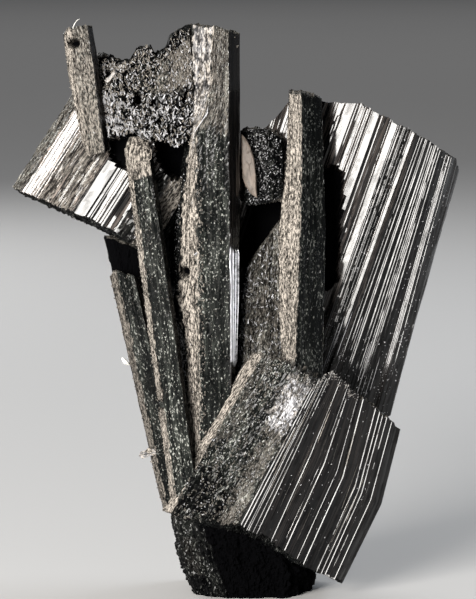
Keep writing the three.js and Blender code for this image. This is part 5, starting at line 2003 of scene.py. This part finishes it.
# ------------------------------------------------------------- small pieces
@dataclass
class PaleFlake(Piece):
    """The loose beige leaf on the tall prism's right side."""

    name: str = "pale_leaf"
    node: str = FLAKE_NODE
    slot: str | None = "pale_mineral"
    finish: StoneFinish = FLAKE_STONE
    outline: tuple[Span, ...] = (
        (0.31, 41.33), (0.71, 40.88), (1.11, 40.17), (1.43, 39.19), (1.61, 37.67),
        (1.7, 35.62), (1.16, 35.97), (0.71, 36.6), (0.4, 37.4), (0.31, 39.01),
    )
    depth: float = -1.5
    half_thickness: float = 0.13
    tilt: float = 0.1
    round_points: int = 160
    rings: int = 18
    inner_ring: float = 0.98
    rim_sharpness: float = 6.0
    rim_wear: float = 0.02
    wear_cell: Span = (0.2, 1.0)
    wear_seed: int = 5
    swell: float = 0.05
    scale_cell: Span = (0.4, 1.1)
    scale_height: float = 0.025
    scale_seed: int = 17

    def shell(self) -> Shell:
        """A thin leaf with a fine rim and low scales on both faces.

        Returns:
            The closed leaf.
        """
        corners = np.array(self.outline)
        turns = np.linspace(0, len(corners), self.round_points, endpoint=False)
        start = turns.astype(int)
        sides = corners[(start + 1) % len(corners)] - corners[start]
        rim = corners[start] + sides * (turns - start)[:, None]
        centre = corners.mean(0)
        wear = self.rim_wear * soft_noise(turns, turns * 0, self.wear_cell, self.wear_seed)
        rim = rim + unit(rim - centre) * wear[:, None]
        fills = np.linspace(0, 1, self.rings)[:, None, None]
        flat = rim + (centre - rim) * fills * self.inner_ring
        faces = []
        for side in (1, -1):
            scales = tilted_grains(flat[..., 0], flat[..., 1], self.scale_cell, self.scale_seed + side, 1.0)
            edge = np.sqrt(np.clip(fills[..., 0] * self.rim_sharpness, 0, 1))
            bulge = (self.half_thickness + self.swell * fills[..., 0] + self.scale_height * scales) * edge
            deep = self.depth - (flat[..., 0] - centre[0]) * self.tilt - side * bulge
            faces.append(np.stack([flat[..., 0], deep, flat[..., 1]], 2))
        front, back = faces
        grid = np.concatenate([back[::-1], front[1:]])
        points, triangles = capped(grid, np.array([grid[0].mean(0), grid[-1].mean(0)]))
        outward = triangles[:, ::-1]
        return Shell.plain(points, outward, points[:, [0, 2, 1]])


@dataclass
class WhiteGrain(Piece):
    """The loose white grain on the outer prism's edge: a blunt block with flat sides."""

    name: str = "white_grain"
    node: str = GRAIN_NODE
    slot: str | None = "white_mineral"
    finish: StoneFinish = GRAIN_STONE
    at: Point = (-10.14, -1.0, 20.85)
    radii: Point = (0.46, 0.2, 0.19)
    lean: float = 0.75
    cuts: int = 16
    cut_reach: Span = (0.8, 1.0)
    corner_reach: float = 1.15
    least_facing: float = 0.05
    steps: int = 26
    pole: float = 0.04
    seed: int = 29
    sharp_degrees: float = 20.0

    def shell(self) -> Shell:
        """A grain bounded by random flat cuts.

        Returns:
            The closed grain.
        """
        rng = np.random.default_rng(self.seed)
        sides = unit(rng.normal(size=(self.cuts, 3)))
        reach = rng.uniform(*self.cut_reach, self.cuts)
        down = np.linspace(self.pole, math.pi - self.pole, self.steps)[:, None]
        turn = np.linspace(0, 2 * math.pi, 2 * self.steps, endpoint=False)[None]
        flat = np.sin(down)
        ways = np.stack([flat * np.cos(turn), -flat * np.sin(turn), np.cos(down) + 0 * turn], 2)
        facing = np.maximum(ways @ sides.T, self.least_facing)
        far = np.minimum((reach / facing).min(-1), self.corner_reach)
        local = ways * far[..., None] * np.array(self.radii)
        cosine, sine = math.cos(self.lean), math.sin(self.lean)
        x = local[..., 0] * cosine + local[..., 2] * sine
        z = local[..., 2] * cosine - local[..., 0] * sine
        grid = np.stack([x, local[..., 1], z], 2) + np.array(self.at)
        points, triangles = capped(grid, np.array([grid[0].mean(0), grid[-1].mean(0)]))
        return Shell.plain(points, triangles, points - np.array(self.at))


@dataclass
class DustFibre(Piece):
    """The curved pale fibre of dust caught on the leaning prism's tip."""

    name: str = "dust_fibre"
    slot: str | None = None
    finish: StoneFinish = DUST
    path: tuple[Point, ...] = (
        (-14.75, -1.9, 50.3), (-14.6, -1.95, 51.05), (-14.35, -2.0, 51.45), (-14.05, -2.0, 51.55),
    )
    radius: float = 0.045
    taper: float = 0.6
    tip_sharpness: float = 10.0
    tip_at: float = 1.02
    rings: int = 36
    round_points: int = 8

    def shell(self) -> Shell:
        """A thin tapering tube along the path.

        Returns:
            The closed fibre.
        """
        share = np.linspace(0, 1, self.rings)[:, None]
        p0, p1, p2, p3 = (np.array(p) for p in self.path)
        back = 1 - share
        middle = p0 * back**3 + 3 * p1 * share * back**2 + 3 * p2 * share**2 * back + p3 * share**3
        along = unit(np.gradient(middle, axis=0))
        first = unit(np.cross(along, np.array([0.0, 1.0, 0.0])))
        second = np.cross(along, first)
        turn = np.linspace(0, 2 * math.pi, self.round_points, endpoint=False)
        tip = np.sqrt(np.clip(self.tip_sharpness * (self.tip_at - share), 0, 1))
        thick = self.radius * (1 - self.taper * share) * tip
        ring = first[:, None] * np.cos(turn)[:, None] + second[:, None] * np.sin(turn)[:, None]
        points, triangles = capped(middle[:, None] + ring * thick[:, None], middle[[0, -1]])
        return Shell.plain(points, triangles, points)


# ------------------------------------------------------------------- studio
@dataclass(frozen=True)
class FloorFinish:
    """A plain pale matt floor with the faintest mottling."""

    name: str = "pale_floor"
    light: tuple[float, ...] = (0.5, 0.495, 0.485, 1.0)
    dark: tuple[float, ...] = (0.47, 0.465, 0.46, 1.0)
    roughness: float = 0.9

    def material(self) -> bpy.types.Material:
        """Builds the material.

        Returns:
            The finished node material.
        """
        t = ShaderTree(self.name)
        place = t.node("ShaderNodeNewGeometry", {}, {})
        colour = t.blend(t.noise(place.outputs["Position"]), self.dark, self.light)
        return t.finished({"Base Color": colour, "Roughness": self.roughness})


@dataclass(frozen=True)
class Softbox:
    """A soft rectangular lamp that faces a point of the specimen."""

    name: str
    at: Point
    towards: Point
    size: Span
    radiance: float
    colour: Point = (1.0, 1.0, 1.0)

    def build(self) -> bpy.types.Object:
        """Makes the lamp.

        Returns:
            The lamp object.
        """
        lamp = bpy.data.lights.new(self.name, "AREA")
        lamp.shape = "RECTANGLE"
        lamp.size, lamp.size_y = (side * MM for side in self.size)
        lamp.energy = self.radiance * math.pi * lamp.size * lamp.size_y
        lamp.color = self.colour
        made = bpy.data.objects.new(self.name, lamp)
        made.location = Vector(self.at) * MM
        aim = (Vector(self.towards) - Vector(self.at)).normalized()
        made.rotation_euler = aim.to_track_quat("-Z", "Y").to_euler()
        made.visible_camera = False
        bpy.context.scene.collection.objects.link(made)
        return made


SPECIMEN_MIDDLE = (0.0, 0.0, 26.0)


@dataclass(frozen=True)
class Studio:
    """Floor, lamps, surrounding light and camera."""

    floor_side: float = 16000.0
    surround: tuple[float, ...] = (0.1, 0.102, 0.107, 1.0)
    view: str = "Standard"
    target: Point = (0.0, 0.0, 26.3477)
    distance: float = 300.0
    elevation: float = 6.0
    frame_pixels: float = 599.0
    pixel: float = 0.09
    sensor: float = 36.0
    lamps: tuple[Softbox, ...] = (
        Softbox(
            "key_softbox", (-180.0, -336.0, 106.0), SPECIMEN_MIDDLE, (190.0, 170.0), 45.0, (1.0, 0.97, 0.93)
        ),
        Softbox(
            "right_fill", (330.0, 160.0, 220.0), SPECIMEN_MIDDLE, (220.0, 220.0), 6.0, (0.85, 0.92, 1.0)
        ),
        Softbox("back_fill", (-220.0, 330.0, 200.0), SPECIMEN_MIDDLE, (260.0, 220.0), 5.0),
        Softbox("overhead", (0.0, 1600.0, 2600.0), (0.0, 1500.0, 0.0), (3000.0, 3000.0), 0.65),
    )

    def build(self) -> None:
        """Sets up everything around the specimen."""
        half = self.floor_side * MM / 2
        corners = [(-half, -half, 0.0), (half, -half, 0.0), (half, half, 0.0), (-half, half, 0.0)]
        mesh = bpy.data.meshes.new("floor")
        mesh.from_pydata(corners, [], [range(len(corners))])
        floor = bpy.data.objects.new("floor", mesh)
        floor.data.materials.append(FloorFinish().material())
        bpy.context.scene.collection.objects.link(floor)
        for lamp in self.lamps:
            lamp.build()
        world = bpy.data.worlds.new("surround")
        world.use_nodes = True
        world.node_tree.nodes["Background"].inputs["Color"].default_value = self.surround
        bpy.context.scene.world = world
        bpy.context.scene.view_settings.view_transform = self.view
        self.camera()

    def camera(self) -> None:
        """Stands the camera in front of the specimen, a little above it."""
        lens = bpy.data.cameras.new("camera")
        lens.sensor_width = self.sensor
        lens.lens = self.sensor * self.distance / (self.frame_pixels * self.pixel)
        lens.clip_end = self.floor_side * MM * 2
        made = bpy.data.objects.new("camera", lens)
        rise = math.radians(self.elevation)
        away = Vector((0.0, -math.cos(rise), math.sin(rise)))
        made.location = (Vector(self.target) + away * self.distance) * MM
        made.rotation_euler = (-away).to_track_quat("-Z", "Y").to_euler()
        bpy.context.scene.collection.objects.link(made)
        bpy.context.scene.camera = made


PIECES: tuple[type[Piece], ...] = (
    RootMass, LeftBlock, ReededBlock, ShadedNeck, RecessedPrism, DarkBlock, BrokenCrown, OuterPrism,
    LongPrism, LeaningPrism, TallPrism, RidgePrism, FrontBlock, PaleFlake, WhiteGrain, DustFibre,
)


def main() -> None:
    """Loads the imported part, puts each crystal in its place and sets up the studio."""
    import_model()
    for kind in PIECES:
        piece = kind()
        made = piece.build()
        piece.dress(made)
        LOG.info("%s: %d triangles", piece.name, len(made.data.polygons))
    Studio().build()


if __name__ == "__main__":
    logging.basicConfig(level=logging.INFO, format="%(message)s")
    main()
